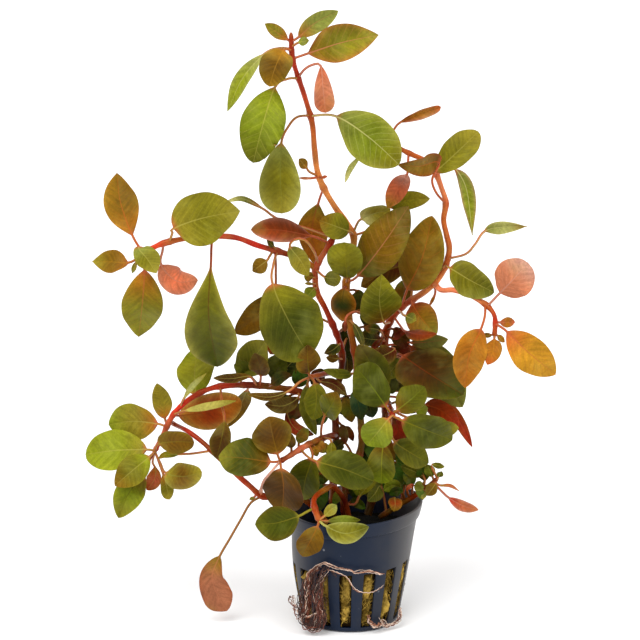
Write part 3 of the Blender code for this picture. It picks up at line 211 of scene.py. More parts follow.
def pot_surface():
    """Outer and inner profiles turned about the axis, less the slots, with each slot's four sides filled
    in."""
    angles, opened = pot_columns()
    count = len(angles)
    band = POT_HEIGHT - RIM_BAND
    slot_rows = np.linspace(SLOT_BOTTOM, SLOT_TOP, SLOT_ROWS)
    upper_rows = np.linspace(SLOT_TOP, band, 7)[1:]
    outer = [(0.0, POT_BASE_RADIUS - 1.0), (0.25, POT_BASE_RADIUS - 0.3), (0.9, wall_radius(0.9))]
    outer += [(z, wall_radius(z)) for z in np.concatenate([slot_rows, upper_rows])]
    outer += [(band + 0.2, wall_radius(band) + 0.25), (band + 0.5, wall_radius(band) + 0.75)]
    outer += [(band + 0.9, wall_radius(band) + RIM_FLARE), (band + 3.5, POT_RIM_RADIUS - 0.05)]
    outer += [(POT_HEIGHT - 0.4, POT_RIM_RADIUS), (POT_HEIGHT, POT_RIM_RADIUS - 0.35)]
    inner = [(POT_FLOOR, POT_BASE_RADIUS - POT_WALL), (POT_FLOOR + 0.2, wall_radius(POT_FLOOR) - POT_WALL)]
    inner += [(z, wall_radius(z) - POT_WALL) for z in np.concatenate([slot_rows, upper_rows])]
    inner += [(band + 0.9, wall_radius(band) - POT_WALL + 0.3), (POT_HEIGHT - 0.3, POT_RIM_RADIUS - POT_WALL)]
    inner += [(POT_HEIGHT, POT_RIM_RADIUS - POT_WALL + 0.35)]
    points = np.vstack([turned(outer, angles), turned(inner, angles)]).reshape(-1, 3)
    column = np.arange(count)
    after = (column + 1) % count
    first_out, first_in = 3, len(outer) + 2

    def strip(low, high, pick):
        """Faces between two rows of points, of the picked columns."""
        return np.stack([low + column, low + after, high + after, high + column], 1)[pick]

    every = np.ones(count, bool)
    quads = []
    last = len(outer) + len(inner) - 1
    for rows, first, step in ((range(len(outer) - 1), first_out, 1), (range(len(outer), last), first_in, -1)):
        for row in rows:
            in_slot = first <= row < first + SLOT_ROWS - 1
            quads.append(strip(row * count, (row + 1) * count, ~opened if in_slot else every)[:, ::step])
    quads.append(strip((len(outer) - 1) * count, last * count, every))
    quads.append(strip(first_out * count, first_in * count, opened))
    tops = (first_out + SLOT_ROWS - 1) * count, (first_in + SLOT_ROWS - 1) * count
    quads.append(strip(tops[1], tops[0], opened))
    left_side = column[opened & ~np.roll(opened, 1)]
    right_side = column[~opened & np.roll(opened, 1)]
    for row in range(SLOT_ROWS - 1):
        out, ins = (first_out + row) * count, (first_in + row) * count
        for side, step in ((left_side, 1), (right_side, -1)):
            edge = np.stack([out + side, ins + side, ins + count + side, out + count + side], 1)
            quads.append(edge[:, ::step])
    points = np.vstack([points, [[0, 0, 0], [0, 0, POT_FLOOR]]])
    under = np.stack([np.full(count, len(points) - 2), after, column], 1)
    inside = len(outer) * count
    over = np.stack([np.full(count, len(points) - 1), inside + column, inside + after], 1)
    return {"points": lean(points), "quads": np.vstack(quads), "triangles": np.vstack([under, over])}


def moulded_plastic():
    """Injection-moulded polypropylene: a dark blue, greyer in patches, with painted light that makes it
    greyer to the right and a painted pale rim light at both sides, a soft satin shine and a few pale specks
    that hard water leaves."""
    material, tree, shader = new_material("moulded_polypropylene")
    place = add(tree, "TexCoord", out="Object")
    cloud = add(tree, "TexNoise", {"Vector": place, "Scale": 70.0, "Detail": 4.0})
    cloud = add(tree, "MapRange", {"Value": cloud, "From Min": 0.42, "From Max": 0.72, "To Max": 0.55})
    across = add(tree, "SeparateXYZ", {0: place})
    # Painted light: the colour greys towards the right, where the side light falls.
    right = add(tree, "MapRange", {"Value": across, "From Min": 0.002, "From Max": 0.02, "To Max": 0.7})
    grey = add(tree, "Math", {0: cloud, 1: right}, operation="ADD", use_clamp=True)
    colour = add(tree, "Mix", {0: grey, 6: linear(PLASTIC_BLUE), 7: linear(PLASTIC_GREY)}, 2,
                 data_type="RGBA")
    # Painted rim light: the colour pales towards both sides of the pot.
    side = add(tree, "Math", {0: across}, operation="ABSOLUTE")
    side = add(tree, "MapRange", {"Value": side, "From Min": 0.015, "From Max": 0.026, "To Max": 0.55})
    colour = add(tree, "Mix", {0: side, 6: colour, 7: linear(PLASTIC_PAINTED_RIM_LIGHT)}, 2, data_type="RGBA")
    specks = add(tree, "TexVoronoi", {"Vector": place, "Scale": 210.0})
    specks = add(tree, "MapRange",
                 {"Value": specks, "From Min": 0.07, "From Max": 0.13, "To Min": 1.0, "To Max": 0.0})
    rare = add(tree, "TexNoise", {"Vector": place, "Scale": 55.0, "Detail": 1.0})
    rare = add(tree, "MapRange", {"Value": rare, "From Min": 0.64, "From Max": 0.70})
    marks = add(tree, "Math", {0: specks, 1: rare}, operation="MULTIPLY")
    colour = add(tree, "Mix", {0: marks, 6: colour, 7: linear(LIME_MARKS)}, 2, data_type="RGBA")
    tree.links.new(colour, shader.inputs["Base Color"])
    rough = add(tree, "MapRange", {"Value": cloud, "From Max": 0.55, "To Min": 0.34, "To Max": 0.46})
    tree.links.new(rough, shader.inputs["Roughness"])
    shader.inputs["IOR"].default_value = 1.49
    shader.inputs["Specular IOR Level"].default_value = 0.2
    grain = add(tree, "TexNoise", {"Vector": place, "Scale": 2500.0, "Detail": 2.0})
    bump = add(tree, "Bump", {"Height": grain, "Strength": 0.12, "Distance": 0.0001})
    tree.links.new(bump, shader.inputs["Normal"])
    return material


pot = make_piece("pot_moulding", [pot_surface()], [moulded_plastic()], ["net_pot"], 35)
edges = pot.modifiers.new("rounded_edges", "BEVEL")
edges.width = POT_EDGE_ROUND * MM
edges.segments = 2
edges.limit_method = "ANGLE"
edges.angle_limit = math.radians(50)

# Rock wool
# A plug of spun mineral fibre that fills the pot and shows in its slots, stained mustard and brown. Its
# hollows carry painted shade, near-black, its raised lumps a painted yellow highlight, and its top painted
# shade under the rim. It is pressed in, so it swells into the slots, and loose fibres lie on it.
WOOL_TOP = 38.0
WOOL_GAP = 0.6
WOOL_COLUMNS = 210
WOOL_ROWS = 70
# Painted shade on the wool under the rim.
WOOL_SHADE = "#0d0a03"
# Painted shade in the hollows of the wool.
WOOL_PAINTED_HOLLOW_SHADE = "#2c1c05"
WOOL_MUSTARD = "#604a16"
# Painted highlight on the raised lumps of wool.
WOOL_PAINTED_LUMP_HIGHLIGHT = "#a4863a"
FIBRE_COUNT = 900
TOP_RINGS = (0.97, 0.9, 0.8, 0.68, 0.55, 0.42, 0.28, 0.14)


def about_axis(radius, angles, height):
    """Points at a radius and height, at angles about the axis that are counted from the camera's side."""
    return np.stack([radius * np.sin(angles), -radius * np.cos(angles), height], -1)


def ring_faces(rows, ring):
    """Quads between rows of points, as many in a row as ring says, and triangles that close the first and
    the last row on the two points that follow all the rows."""
    here = np.arange(ring)
    after = (here + 1) % ring
    low = ring * np.arange(rows - 1)[:, None]
    quads = np.stack([low + here, low + after, low + ring + after, low + ring + here], -1).reshape(-1, 4)
    top = (rows - 1) * ring
    under = np.stack([np.full(ring, rows * ring), after, here], 1)
    over = np.stack([np.full(ring, rows * ring + 1), top + here, top + after], 1)
    return {"quads": quads, "triangles": np.vstack([under, over])}


def slot_share(angles):
    """1 in the middle of a slot, falling to 0 at its sides."""
    pitch = math.radians(360.0 / SLOT_COUNT)
    off = np.mod(angles - math.radians(SLOT_FIRST_DEG) + pitch / 2, pitch) - pitch / 2
    return 1 - ease(np.abs(off), 0.2 * math.radians(SLOT_WIDTH_DEG), 0.5 * math.radians(SLOT_WIDTH_DEG))


def wool_tint(depth, height):
    """Painted shade, near-black, in the hollows, mustard on the level, a painted yellow highlight on what
    stands out, and painted shade under the rim.
    """
    # By depth: painted shade in the hollows and painted highlight on the lumps.
    low = ease(depth, -0.9, 0.1)[..., None]
    high = ease(depth, 0.1, 1.3)[..., None]
    tint = linear(WOOL_PAINTED_HOLLOW_SHADE) * (1 - low) + linear(WOOL_MUSTARD) * (low - high) + linear(WOOL_PAINTED_LUMP_HIGHLIGHT) * high
    # Painted shade: the wool darkens above the slots, under the rim.
    shade = ease(height, SLOT_TOP, SLOT_TOP + 6)[..., None]
    return tint * (1 - shade) + linear(WOOL_SHADE) * shade


def wool_surface():
    """The inside of the wall, pushed out in the slots and drawn back between them, both by noise of three
    sizes, and closed above by rings that shrink to the middle of an uneven top."""
    angles = 2 * math.pi * np.arange(WOOL_COLUMNS) / WOOL_COLUMNS
    height = np.linspace(POT_FLOOR + 0.4, WOOL_TOP - 1.5, WOOL_ROWS)
    a, z = np.meshgrid(angles, height)
    radius = wall_radius(z) - POT_WALL - WOOL_GAP
    spot = about_axis(radius, a, z)
    wide = slot_share(a + 0.035 * noise(spot, 5.0, 6))
    swell = wide * ease(z, SLOT_BOTTOM, SLOT_BOTTOM + 3.5) * (1 - ease(z, SLOT_TOP - 3, SLOT_TOP))
    lumps = noise(spot, 4.5, 1) + 0.7 * noise(spot, 2.0, 2) + 0.45 * noise(spot, 0.9, 3)
    depth = swell * (1.0 + 1.3 * lumps) - (1 - swell) * (0.9 + 0.25 * np.abs(lumps))
    radius = radius + np.where(depth < 0, 0.35, 1.0) * depth
    rings = [about_axis(radius, a, z).reshape(-1, 3)]
    flat = wall_radius(WOOL_TOP) - POT_WALL - WOOL_GAP
    for share in TOP_RINGS:
        spot = about_axis(flat * share, angles, np.zeros(WOOL_COLUMNS))
        bumps = 0.8 * noise(spot, 6.0, 4)
        spot[:, 2] = WOOL_TOP - 1.2 + ease(1 - share, 0, 0.4) + bumps + 0.5 * noise(spot, 2.0, 5)
        rings.append(spot)
    points = np.vstack(rings + [np.array([[0, 0, POT_FLOOR + 0.4], [0, 0, WOOL_TOP]])])
    depths = np.append(depth.ravel(), np.zeros(len(points) - depth.size))
    made = ring_faces(WOOL_ROWS + len(TOP_RINGS), WOOL_COLUMNS)
    made["points"] = lean(points)
    made["tint"] = wool_tint(depths, points[:, 2])
    return made


def unit(vectors):
    """Vectors divided by their lengths."""
    return vectors / np.maximum(np.linalg.norm(vectors, axis=-1, keepdims=True), 1e-9)


def strands(paths, radii, sides):
    """Round strands along many paths at once: at each point, a ring of the strand's radius square to its
    way, and a point at each end that closes it."""
    ways = unit(np.gradient(paths, axis=1))
    side = unit(np.cross(ways, np.array([0.31, 0.87, 0.38])))
    other = np.cross(ways, side)
    turn = 2 * math.pi * np.arange(sides) / sides
    ring = side[:, :, None] * np.cos(turn)[:, None] + other[:, :, None] * np.sin(turn)[:, None]
    points = paths[:, :, None] + radii[:, :, None, None] * ring
    many, rows = paths.shape[:2]
    first = (np.arange(many) * rows * sides)[:, None, None] + (np.arange(rows - 1) * sides)[:, None]
    here = np.arange(sides)
    after = (here + 1) % sides
    quads = [first + here, first + after, first + sides + after, first + sides + here]
    ends = many * rows * sides + np.arange(2 * many).reshape(many, 2)
    start = (np.arange(many) * rows * sides)[:, None]
    low = np.stack([np.broadcast_to(ends[:, :1], (many, sides)), start + after, start + here], -1)
    last = start + (rows - 1) * sides
    high = np.stack([np.broadcast_to(ends[:, 1:], (many, sides)), last + here, last + after], -1)
    points = np.vstack([points.reshape(-1, 3), paths[:, [0, -1]].reshape(-1, 3)])
    return {"points": points, "quads": np.stack(quads, -1).reshape(-1, 4),
            "triangles": np.vstack([low.reshape(-1, 3), high.reshape(-1, 3)])}


def wool_fibres():
    """Short bent fibres that lie on the wool in the slots: each has a middle, a heading along the wall and
    a slow bend, and is held between the two sides of its slot."""
    draw = np.random.default_rng(7)
    pitch = 2 * math.pi / SLOT_COUNT
    slot = draw.integers(0, SLOT_COUNT, FIBRE_COUNT) * pitch + math.radians(SLOT_FIRST_DEG)
    angle = slot + draw.uniform(-0.42, 0.42, FIBRE_COUNT) * math.radians(SLOT_WIDTH_DEG)
    height = draw.uniform(SLOT_BOTTOM + 1.0, SLOT_TOP - 1.5, FIBRE_COUNT)
    heading = draw.normal(math.pi / 2, 0.7, FIBRE_COUNT)
    length = draw.uniform(1.5, 5.0, FIBRE_COUNT)
    bend = draw.normal(0, 0.9, FIBRE_COUNT)
    share = np.linspace(-0.5, 0.5, 7)
    way = heading[:, None] + bend[:, None] * share
    across = length[:, None] * share * np.cos(way)
    up = length[:, None] * share * np.sin(way)
    z = np.clip(height[:, None] + up, SLOT_BOTTOM + 0.4, SLOT_TOP - 0.5)
    stand = draw.uniform(0.3, 1.5, FIBRE_COUNT)[:, None] + 0.5 * np.cos(math.pi * share)
    radius = wall_radius(z) - POT_WALL - 0.2 + stand * 0.8
    a = angle[:, None] + across / radius
    reach = 0.44 * pitch * 0.55
    a = slot[:, None] + np.clip(a - slot[:, None], -reach, reach)
    paths = about_axis(radius, a, z)
    radii = draw.uniform(0.06, 0.15, FIBRE_COUNT)[:, None] * (1 - 1.2 * share ** 2)
    made = strands(lean(paths), radii, 3)
    made["tint"] = wool_tint(0.7 + 0.6 * noise(made["points"], 3.0, 8), made["points"][:, 2])
    return made


def mineral_wool():
    """Stained mineral wool: each point's tint, its own mustard with painted near-black shade in the hollows
    and under the rim and a painted straw highlight on the raised lumps, broken by matted fibres; quite matt.
    Real fibres are a hundredth of a millimetre thick, and these are drawn as coarse as it takes to see them."""
    material, tree, shader = new_material("mineral_wool")
    place = add(tree, "TexCoord", out="Object")
    tint = add(tree, "Attribute", attribute_name="tint")
    flat = add(tree, "Mapping", {"Vector": place, "Scale": (1.0, 1.0, 0.45)})
    lumps = add(tree, "TexNoise", {"Vector": flat, "Scale": 420.0, "Detail": 6.0, "Roughness": 0.65})
    fibre = add(tree, "TexNoise", {"Vector": flat, "Scale": 1500.0, "Detail": 3.0, "Distortion": 1.5})
    both = add(tree, "Math", {0: fibre, 1: 0.35, 2: lumps}, operation="MULTIPLY_ADD")
    shade = add(tree, "MapRange",
                {"Value": both, "From Min": 0.5, "From Max": 0.85, "To Min": 0.35, "To Max": 1.5})
    colour = add(tree, "VectorMath", {0: tint, "Scale": shade}, operation="SCALE")
    tree.links.new(colour, shader.inputs["Base Color"])
    shader.inputs["Roughness"].default_value = 0.85
    shader.inputs["Specular IOR Level"].default_value = 0.1
    bump = add(tree, "Bump", {"Height": both, "Strength": 0.8, "Distance": 0.0004})
    tree.links.new(bump, shader.inputs["Normal"])
    return material


wool = mineral_wool()
make_piece("wool_plug", [wool_surface(), wool_fibres()], [wool], ["rock_wool"])

# Roots
# Wiry brown and pale strands, as thick as cotton thread. They leave a slot at the front left, hang down the
# wall, turn back in a loop at the base, and a few lie across the wall or show at the right of the base.
EYE = np.array([-12.4, -1204.5, 459.85])
ROOT_BROWN = "#6a2f18"
ROOT_TAN = "#a0684a"
ROOT_PALE = "#d8bca8"
ROOT_DARK = "#2e120a"
ROOT_SIDES = 5
ROOT_ROWS = 120
ROOT_GAP = 0.3


def spread(across, up):
    """How far the arms lean out of the plane of the picture, and how much depths there are stretched."""
    high_left = -30.0 * ease(up, 95, 150) + 16.0 * (1 - ease(up, 80, 140))
    high_right = 20.0 * ease(up, 150, 190) - 22.0 * (1 - ease(up, 140, 180))
    high_right += 14.0 * (1 - ease(up, 75, 110))
    shift = high_left * ease(-across, 15, 80) + high_right * ease(across, 15, 65)
    above = max(ease(up, 58, 90), ease(abs(across), 34, 60) * ease(up, 45, 65))
    return shift * above, 1.0 + 0.35 * above


def place(point):
    """The point at a depth on the sight line through (across, up) on the plane of the pot's axis."""
    across, up, depth = point
    shift, stretch = spread(across, up)
    depth = depth * stretch + shift
    on_plane = np.array([across, 0.0, up])
    share = (depth - EYE[1]) / -EYE[1]
    return EYE + share * (on_plane - EYE)


def curve_through(points, per_span=10):
    """Catmull-Rom spans: half of 2b + (c - a)t + (2a - 5b + 4c - d)t^2 + (3b - a - 3c + d)t^3."""
    points = np.asarray(points, float)
    knots = np.vstack([2 * points[0] - points[1], points, 2 * points[-1] - points[-2]])
    t = np.linspace(0, 1, per_span, endpoint=False)[:, None]
    spans = []
    for k in range(1, len(knots) - 2):
        a, b, c, d = knots[k - 1:k + 3]
        bend = (2 * a - 5 * b + 4 * c - d) * t ** 2 + (3 * b - a - 3 * c + d) * t ** 3
        spans.append(0.5 * (2 * b + (c - a) * t + bend))
    return np.vstack(spans + [points[-1:]])


def lengths_along(curve):
    """The length of a curve up to each of its points."""
    steps = np.linalg.norm(np.diff(curve, axis=0), axis=1)
    return np.concatenate([[0], np.cumsum(steps)])


def at_lengths(curve, wanted):
    """Points and directions on a curve at the wanted lengths."""
    along = lengths_along(curve)
    spots = np.stack([np.interp(wanted, along, curve[:, k]) for k in range(3)], 1)
    ahead = np.stack([np.interp(np.add(wanted, 0.4), along, curve[:, k]) for k in range(3)], 1)
    behind = np.stack([np.interp(np.subtract(wanted, 0.4), along, curve[:, k]) for k in range(3)], 1)
    return spots, unit(ahead - behind)


def wander(draw, many, rows, reach, pace):
    """Random sideways drifts: for each strand, three sines of random phase and of one to three waves, by
    pace."""
    t = np.linspace(0, 1, rows)[:, None]
    waves = draw.uniform(0.6, 3.2, (many, 1, 3)) * pace
    phase = draw.uniform(0, 2 * math.pi, (many, 1, 3))
    return reach * np.sin(2 * math.pi * waves * t + phase)


def root_strands(points, many, thick, spacing, seed, tones, curl=0.12):
    """Strands that keep near one curve and off the wall: each is the curve over its own stretch, plus a
    slow drift and a quick curl."""
    draw = np.random.default_rng(seed)
    curve = curve_through([place(p) for p in points])
    total = lengths_along(curve)[-1]
    paths = []
    for k in range(many):
        low = draw.uniform(0, 0.12)
        high = 1.0 - draw.uniform(0, 0.25) ** 2
        paths.append(at_lengths(curve, np.linspace(low, high, ROOT_ROWS) * total)[0])
    paths = np.array(paths) + draw.normal(0, 0.55, (many, 1, 3)) * spacing
    paths += wander(draw, many, ROOT_ROWS, 0.4 * spacing, 1.0) + wander(draw, many, ROOT_ROWS, curl, 6.0)
    out = np.linalg.norm(paths[..., :2], axis=-1, keepdims=True)
    free = wall_radius(np.clip(paths[..., 2:], 0, POT_HEIGHT)) + ROOT_GAP
    paths[..., :2] *= np.maximum(out, free) / out
    radii = draw.uniform(thick * 0.45, thick, (many, 1)) * np.ones(ROOT_ROWS)
    radii = radii * (1 - 0.3 * np.abs(np.linspace(-1, 1, ROOT_ROWS)) ** 6)
    made = strands(paths, radii, ROOT_SIDES)
    picked = np.array([linear(tone) for tone in tones])[draw.integers(0, len(tones), many)]
    ring = np.repeat(picked, ROOT_ROWS * ROOT_SIDES, axis=0)
    made["tint"] = np.vstack([ring, np.repeat(picked, 2, axis=0)])
    return made


def root_skin():
    """Skin of living roots: each strand its own brown, mottled along its length, a little waxy."""
    material, tree, shader = new_material("root_skin")
    place_at = add(tree, "TexCoord", out="Object")
    tint = add(tree, "Attribute", attribute_name="tint")
    cloud = add(tree, "TexNoise", {"Vector": place_at, "Scale": 450.0, "Detail": 3.0})
    shade = add(tree, "MapRange",
                {"Value": cloud, "From Min": 0.3, "From Max": 0.7, "To Min": 0.55, "To Max": 1.3})
    colour = add(tree, "VectorMath", {0: tint, "Scale": shade}, operation="SCALE")
    tree.links.new(colour, shader.inputs["Base Color"])
    shader.inputs["Roughness"].default_value = 0.55
    bump = add(tree, "Bump", {"Height": cloud, "Strength": 0.3, "Distance": 0.0002})
    tree.links.new(bump, shader.inputs["Normal"])
    return material


roots = root_skin()
TANGLE = [
    (-12.2, 20.6, -24.2), (-16, 17.6, -22.6), (-17, 10, -21.6), (-17.4, 3, -21), (-18.2, -2.5, -20.6),
    (-15.5, -5.2, -21.8), (-11.6, -3, -23), (-12, 3, -23.4), (-13, 10, -23.6)]
SIDE_TANGLE = [
    (-9.5, 21.0, -24.6), (-12.5, 15, -24.3), (-13.5, 8, -24), (-13.6, 1, -23.5), (-14, -4, -22.8),
    (-17.6, -4.6, -22), (-19.6, 1, -20.6), (-18.6, 10, -20.6), (-16.5, 17.5, -21.6)]
PALE_FOOT = [(-19, -0.5, -21.6), (-17, -0.9, -23.2), (-15, 0.2, -24.2), (-12.6, 1.6, -24)]
BEHIND = [(-24, 9, -10), (-23, 5, -12), (-21, 1, -15), (-19, -3, -18)]
MIX = [ROOT_BROWN, ROOT_DARK, ROOT_BROWN, ROOT_TAN, ROOT_DARK, ROOT_PALE]
tangle = [root_strands(TANGLE, 44, 0.19, 1.5, 11, MIX, 0.3),
          root_strands(SIDE_TANGLE, 32, 0.18, 1.7, 12, MIX, 0.3),
          root_strands(PALE_FOOT, 4, 0.24, 0.5, 13, [ROOT_PALE, ROOT_TAN]),
          root_strands(BEHIND, 6, 0.18, 1.3, 14, [ROOT_PALE, ROOT_TAN, ROOT_BROWN], 0.3)]
make_piece("root_tangle_strands", tangle, [roots], ["root_tangle"])
ARCH = [
    (-19, 16, -21.8), (-15, 20, -23.6), (-11, 22.5, -25), (-5, 20.5, -26.3), (0, 19.6, -26.9),
    (2, 18.5, -26.9), (8, 19.2, -26.2), (13.5, 17.5, -24.3)]
DIP = [(-10, 20, -25), (-3, 17.6, -26), (-0.5, 14.5, -26), (1.5, 11.5, -26), (5, 10, -26), (9, 10.3, -25),
       (13.5, 13, -22)]
STRAY = [(-12, 21, -25), (-8, 19, -25), (-6, 16.5, -25.5)]
over_wall = [root_strands(ARCH, 5, 0.17, 0.5, 21, [ROOT_BROWN, ROOT_TAN, ROOT_PALE], 0.15),
             root_strands(DIP, 2, 0.15, 0.35, 22, [ROOT_TAN, ROOT_PALE]),
             root_strands(STRAY, 3, 0.14, 0.6, 23, MIX, 0.2)]
make_piece("root_strand_threads", over_wall, [roots], ["root_strand"])
LOOP = [(12.6, -1, -18.6), (14.6, -4.3, -17.8), (18, -3.6, -15.4), (20.4, -0.6, -13.2), (20.3, 3, -12.4)]
LOOP_FOOT = [(7.5, 0, -22), (8, -3.4, -21.6), (11, -5, -20.6), (13, -3.4, -19)]
loop = [root_strands(LOOP, 8, 0.2, 0.9, 31, [ROOT_PALE, ROOT_TAN, ROOT_BROWN], 0.2),
        root_strands(LOOP_FOOT, 5, 0.16, 0.8, 32, [ROOT_PALE, ROOT_TAN, ROOT_DARK], 0.25)]
make_piece("root_loop_threads", loop, [roots], ["root_loop_right"])

# Tall stem
# The main shoot: a juicy round stem, dark at its foot, orange in the middle and red near its tip, with
# oval leaves. Each leaf has a short stalk, a pale midrib in a groove and side veins that raise the blade
# in soft cushions.
PETIOLE_RADIUS = 0.5
GROWN_BELOW = 11.45
TURNS = (16.0, -20.0, 9.0, -24.0, 22.0, -12.0)
STEM_SIDES = 12
STEM_STEP = 1.1
STEM_BARK = 0.2
STEM_WAVE = 0.05
JOINT_SWELL = 0.32
JOINT_REACH = 1.5
JOINT_BLUSH = 0.45
LEAF_TIP_HALF = 0.2
LEAF_SPAN = 20
LEAF_ROWS = 46
LEAF_COLUMNS = 15
SMALL_LEAF = 6.5
SMALL_ROWS = 20
SMALL_COLUMNS = 9
STALK_STEP = 1.3
VEIN_PITCH = 1.4
MARGIN_WAVE = 0.05
GROOVE_DEPTH = 0.12
MIDRIB_HEIGHT = 0.34
SHEET_EDGE = 0.05
SHEET_MIDDLE = 0.09
LEAF_CLOUD = 0.16
# The colour of the pale sheen patches painted on leaves and stems.
PAINTED_SHEEN = "#7d8040"
WAX_TINT = "#fff0a8"
# light paints light on one half of a blade and shade on the other, as on a folded leaf.
LEAF_LOOK = {
    "rib": "straw", "ribbed": 0.5, "veins": 0.13, "edge": "khaki", "edged": 0.3, "light": 0.0,
    "under": "salmon", "stem_tone": "coral", "crinkle": 0.0, "cushion": 0.3, "base": 0.62, "tip": 0.68,
}
# shade and teal are near-black greens; on the leaves deep inside the plant they are painted shade.
TONES = {
    "lime": "#92921e", "fresh": "#7e8617", "grass": "#697412", "olive": "#6c660f", "khaki": "#7f731e",
    "moss": "#4d4e08", "deep": "#363c05", "shade": "#1d2604", "sage": "#747931", "grey": "#5c5b22",
    "pale": "#959651", "straw": "#a89d49", "cream": "#bcb670", "brown": "#5c3d05", "umber": "#3e2203",
    "bronze": "#72510b", "rust": "#742906", "amber": "#955811", "gold": "#a9761b", "coral": "#a95132",
    "salmon": "#b36b4b", "pink": "#b78573", "red": "#881f0c", "scarlet": "#a62413", "wine": "#4b0d07",
    "orange": "#ad501e", "fern": "#2b4a0c", "teal": "#14301a",
    "clay": "#955a3f", "crimson": "#c4261a", "melon": "#e07850", "apricot": "#d08040", "ember": "#8a2c04",
}


def tone(name):
    """A named plant colour, in linear light."""
    return linear(TONES[name])[:3]


def graded(names, share):
    """The named colours at even steps from share 0 to 1, blended by ease. A single name stands for two."""
    listed = names.split()
    colours = np.array([tone(name) for name in (listed if len(listed) > 1 else listed * 2)])
    spot = np.clip(share, 0, 1) * (len(colours) - 1)
    low = np.minimum(spot.astype(int), len(colours) - 2)
    part = ease(spot - low, 0, 1)[..., None]
    return colours[low] * (1 - part) + colours[low + 1] * part


def seed_of(name):
    """A number from 0 to 1 of a name: the sum of its letters' codes, each by its place, over 97."""
    return sum(code * (k + 1) for k, code in enumerate(name.encode())) % 97 / 97


def nearest_on(parent, near):
    """The length along a stem's centre line, and the spot there, nearest to a point."""
    centres, along = parent["centres"], parent["along"]
    steps = np.diff(centres, axis=0)
    share = np.clip(np.sum((near - centres[:-1]) * steps, 1) / np.sum(steps * steps, 1), 0, 1)
    spots = centres[:-1] + steps * share[:, None]
    row = int(np.argmin(np.linalg.norm(near - spots, axis=1)))
    return along[row] + share[row] * (along[row + 1] - along[row]), spots[row]


def stem(name, points, radius_from, radius_to, tones, parent=None, taper=1.0):
    """A stem along sight-line points, before its skin and leaves. A branch starts on its parent's centre
    line."""
    spots = [place(p) for p in points]
    if parent:
        length, spots[0] = nearest_on(parent, spots[0])
        parent["joints"].append((length, 1.0))
    curve = curve_through(spots)
    total = lengths_along(curve)[-1]
    along = np.linspace(0, total, max(int(total / STEM_STEP), 6))
    centres, ways = at_lengths(curve, along)
    return {"name": name, "centres": centres, "ways": ways, "along": along, "ends": (radius_from, radius_to),
            "tones": tones, "taper": taper, "joints": [], "surfaces": []}


def carried_side(ways):
    """A side direction at each row, kept from turning about the way: the last side less its part along."""
    side = unit(np.cross(ways[0], [0.3, 1.0, 0.2]))
    sides = []
    for way in ways:
        side = unit(side - way * np.dot(side, way))
        sides.append(side)
    return np.array(sides)


def stem_surface(made):
    """Rings round the centre line, of radius r (1 + the greatest of 0.32 size exp(-((s - joint) / 1.5)^2))
    with a slow wave and faint ridges, closed by a blunt end. Its colour is redder at the joints."""
    centres, ways, along = made["centres"], made["ways"], made["along"]
    share = along / along[-1]
    foot, end = made["ends"]
    radius = STEM_BARK + foot + (end - foot) * share ** made["taper"]
    swell = np.zeros(len(along))
    for length, size in made["joints"]:
        swell = np.maximum(swell, JOINT_SWELL * size * np.exp(-((along - length) / JOINT_REACH) ** 2))
    seed = seed_of(made["name"])
    radius = radius * (1 + swell) * (1 + STEM_WAVE * np.sin(along / 2.3 + 9 * seed))
    radius[-1] *= 0.6
    turn = 2 * math.pi * np.arange(STEM_SIDES) / STEM_SIDES
    side = carried_side(ways)
    other = np.cross(ways, side)
    ridge = 1 + STEM_WAVE * np.cos(4 * turn + seed)
    ring = side[:, None] * np.cos(turn)[:, None] + other[:, None] * np.sin(turn)[:, None]
    points = centres[:, None] + ring * (radius[:, None] * ridge)[..., None]
    last = centres[-1] + ways[-1] * end * 0.5
    points = np.vstack([points.reshape(-1, 3), centres[:1], last[None]])
    tint = graded(made["tones"], np.repeat(share, STEM_SIDES))
    blush = 0.5 + 0.5 * noise(points[:-2], 5.0, int(90 * seed))[:, None]
    tint = tint * (0.8 + 0.35 * blush)
    joint = np.repeat(swell / JOINT_SWELL, STEM_SIDES)[:, None]
    tint = tint * (1 - JOINT_BLUSH * joint) + tone("red") * JOINT_BLUSH * joint
    tint = np.vstack([tint, tint[:1], tint[-1:]])
    many = len(points)
    return {"points": points, "material": 0, "tint": np.hstack([tint, np.ones((many, 1))]),
            "rib": np.tile([1.0, 1.0, 1.0, 0.0], (many, 1)), "blade": np.tile([90.0, 0.5, 0.0], (many, 1)),
            **ring_faces(len(along), STEM_SIDES)}


def half_width(share, width, widest, base, tip):
    """Half the width at a share of the blade: a quarter sine wave up to the widest place, to the power
    base, and another down to the end, to the power tip, and no less than the stalk or the tip. A power
    below 1 is full and round, and one above 1 is hollow."""
    rise = np.sin(math.pi / 2 * np.clip(share / widest, 0, 1)) ** base
    fall = np.sin(math.pi / 2 * np.clip((1 - share) / (1 - widest), 0, 1)) ** tip
    half = 0.5 * width * np.where(share < widest, rise, fall)
    half = np.maximum(half, np.where(share < 0.5, PETIOLE_RADIUS, LEAF_TIP_HALF))
    return np.where(share <= 0, PETIOLE_RADIUS, half)


def leaf_rows(along, base_at, small):
    """Lengths of the rings: even steps on the stalk, and on the blade steps that shorten to its ends."""
    stalk = np.linspace(0, base_at, max(int(base_at / STALK_STEP), 3), endpoint=False)
    t = np.linspace(0, 1, SMALL_ROWS if small else LEAF_ROWS)
    t = 0.65 * t + 0.35 * (0.5 - 0.5 * np.cos(math.pi * t))
    return np.concatenate([stalk, base_at + t * (along[-1] - base_at)])


def leaf_frame(spots, ways, roll):
    """The top and side directions at each row, square to the way: the mean of nine rows' directions to the
    eye, turned by roll."""
    seen = unit(EYE - spots)
    face = seen - ways * np.sum(seen * ways, 1)[:, None]
    padded = np.pad(face, ((4, 4), (0, 0)), mode="edge")
    face = sum(padded[k:k + len(face)] for k in range(9))
    face = unit(face - ways * np.sum(face * ways, 1)[:, None])
    side = np.cross(ways, face)
    turn = np.radians(roll)[:, None]
    return face * np.cos(turn) + side * np.sin(turn), side * np.cos(turn) - face * np.sin(turn)


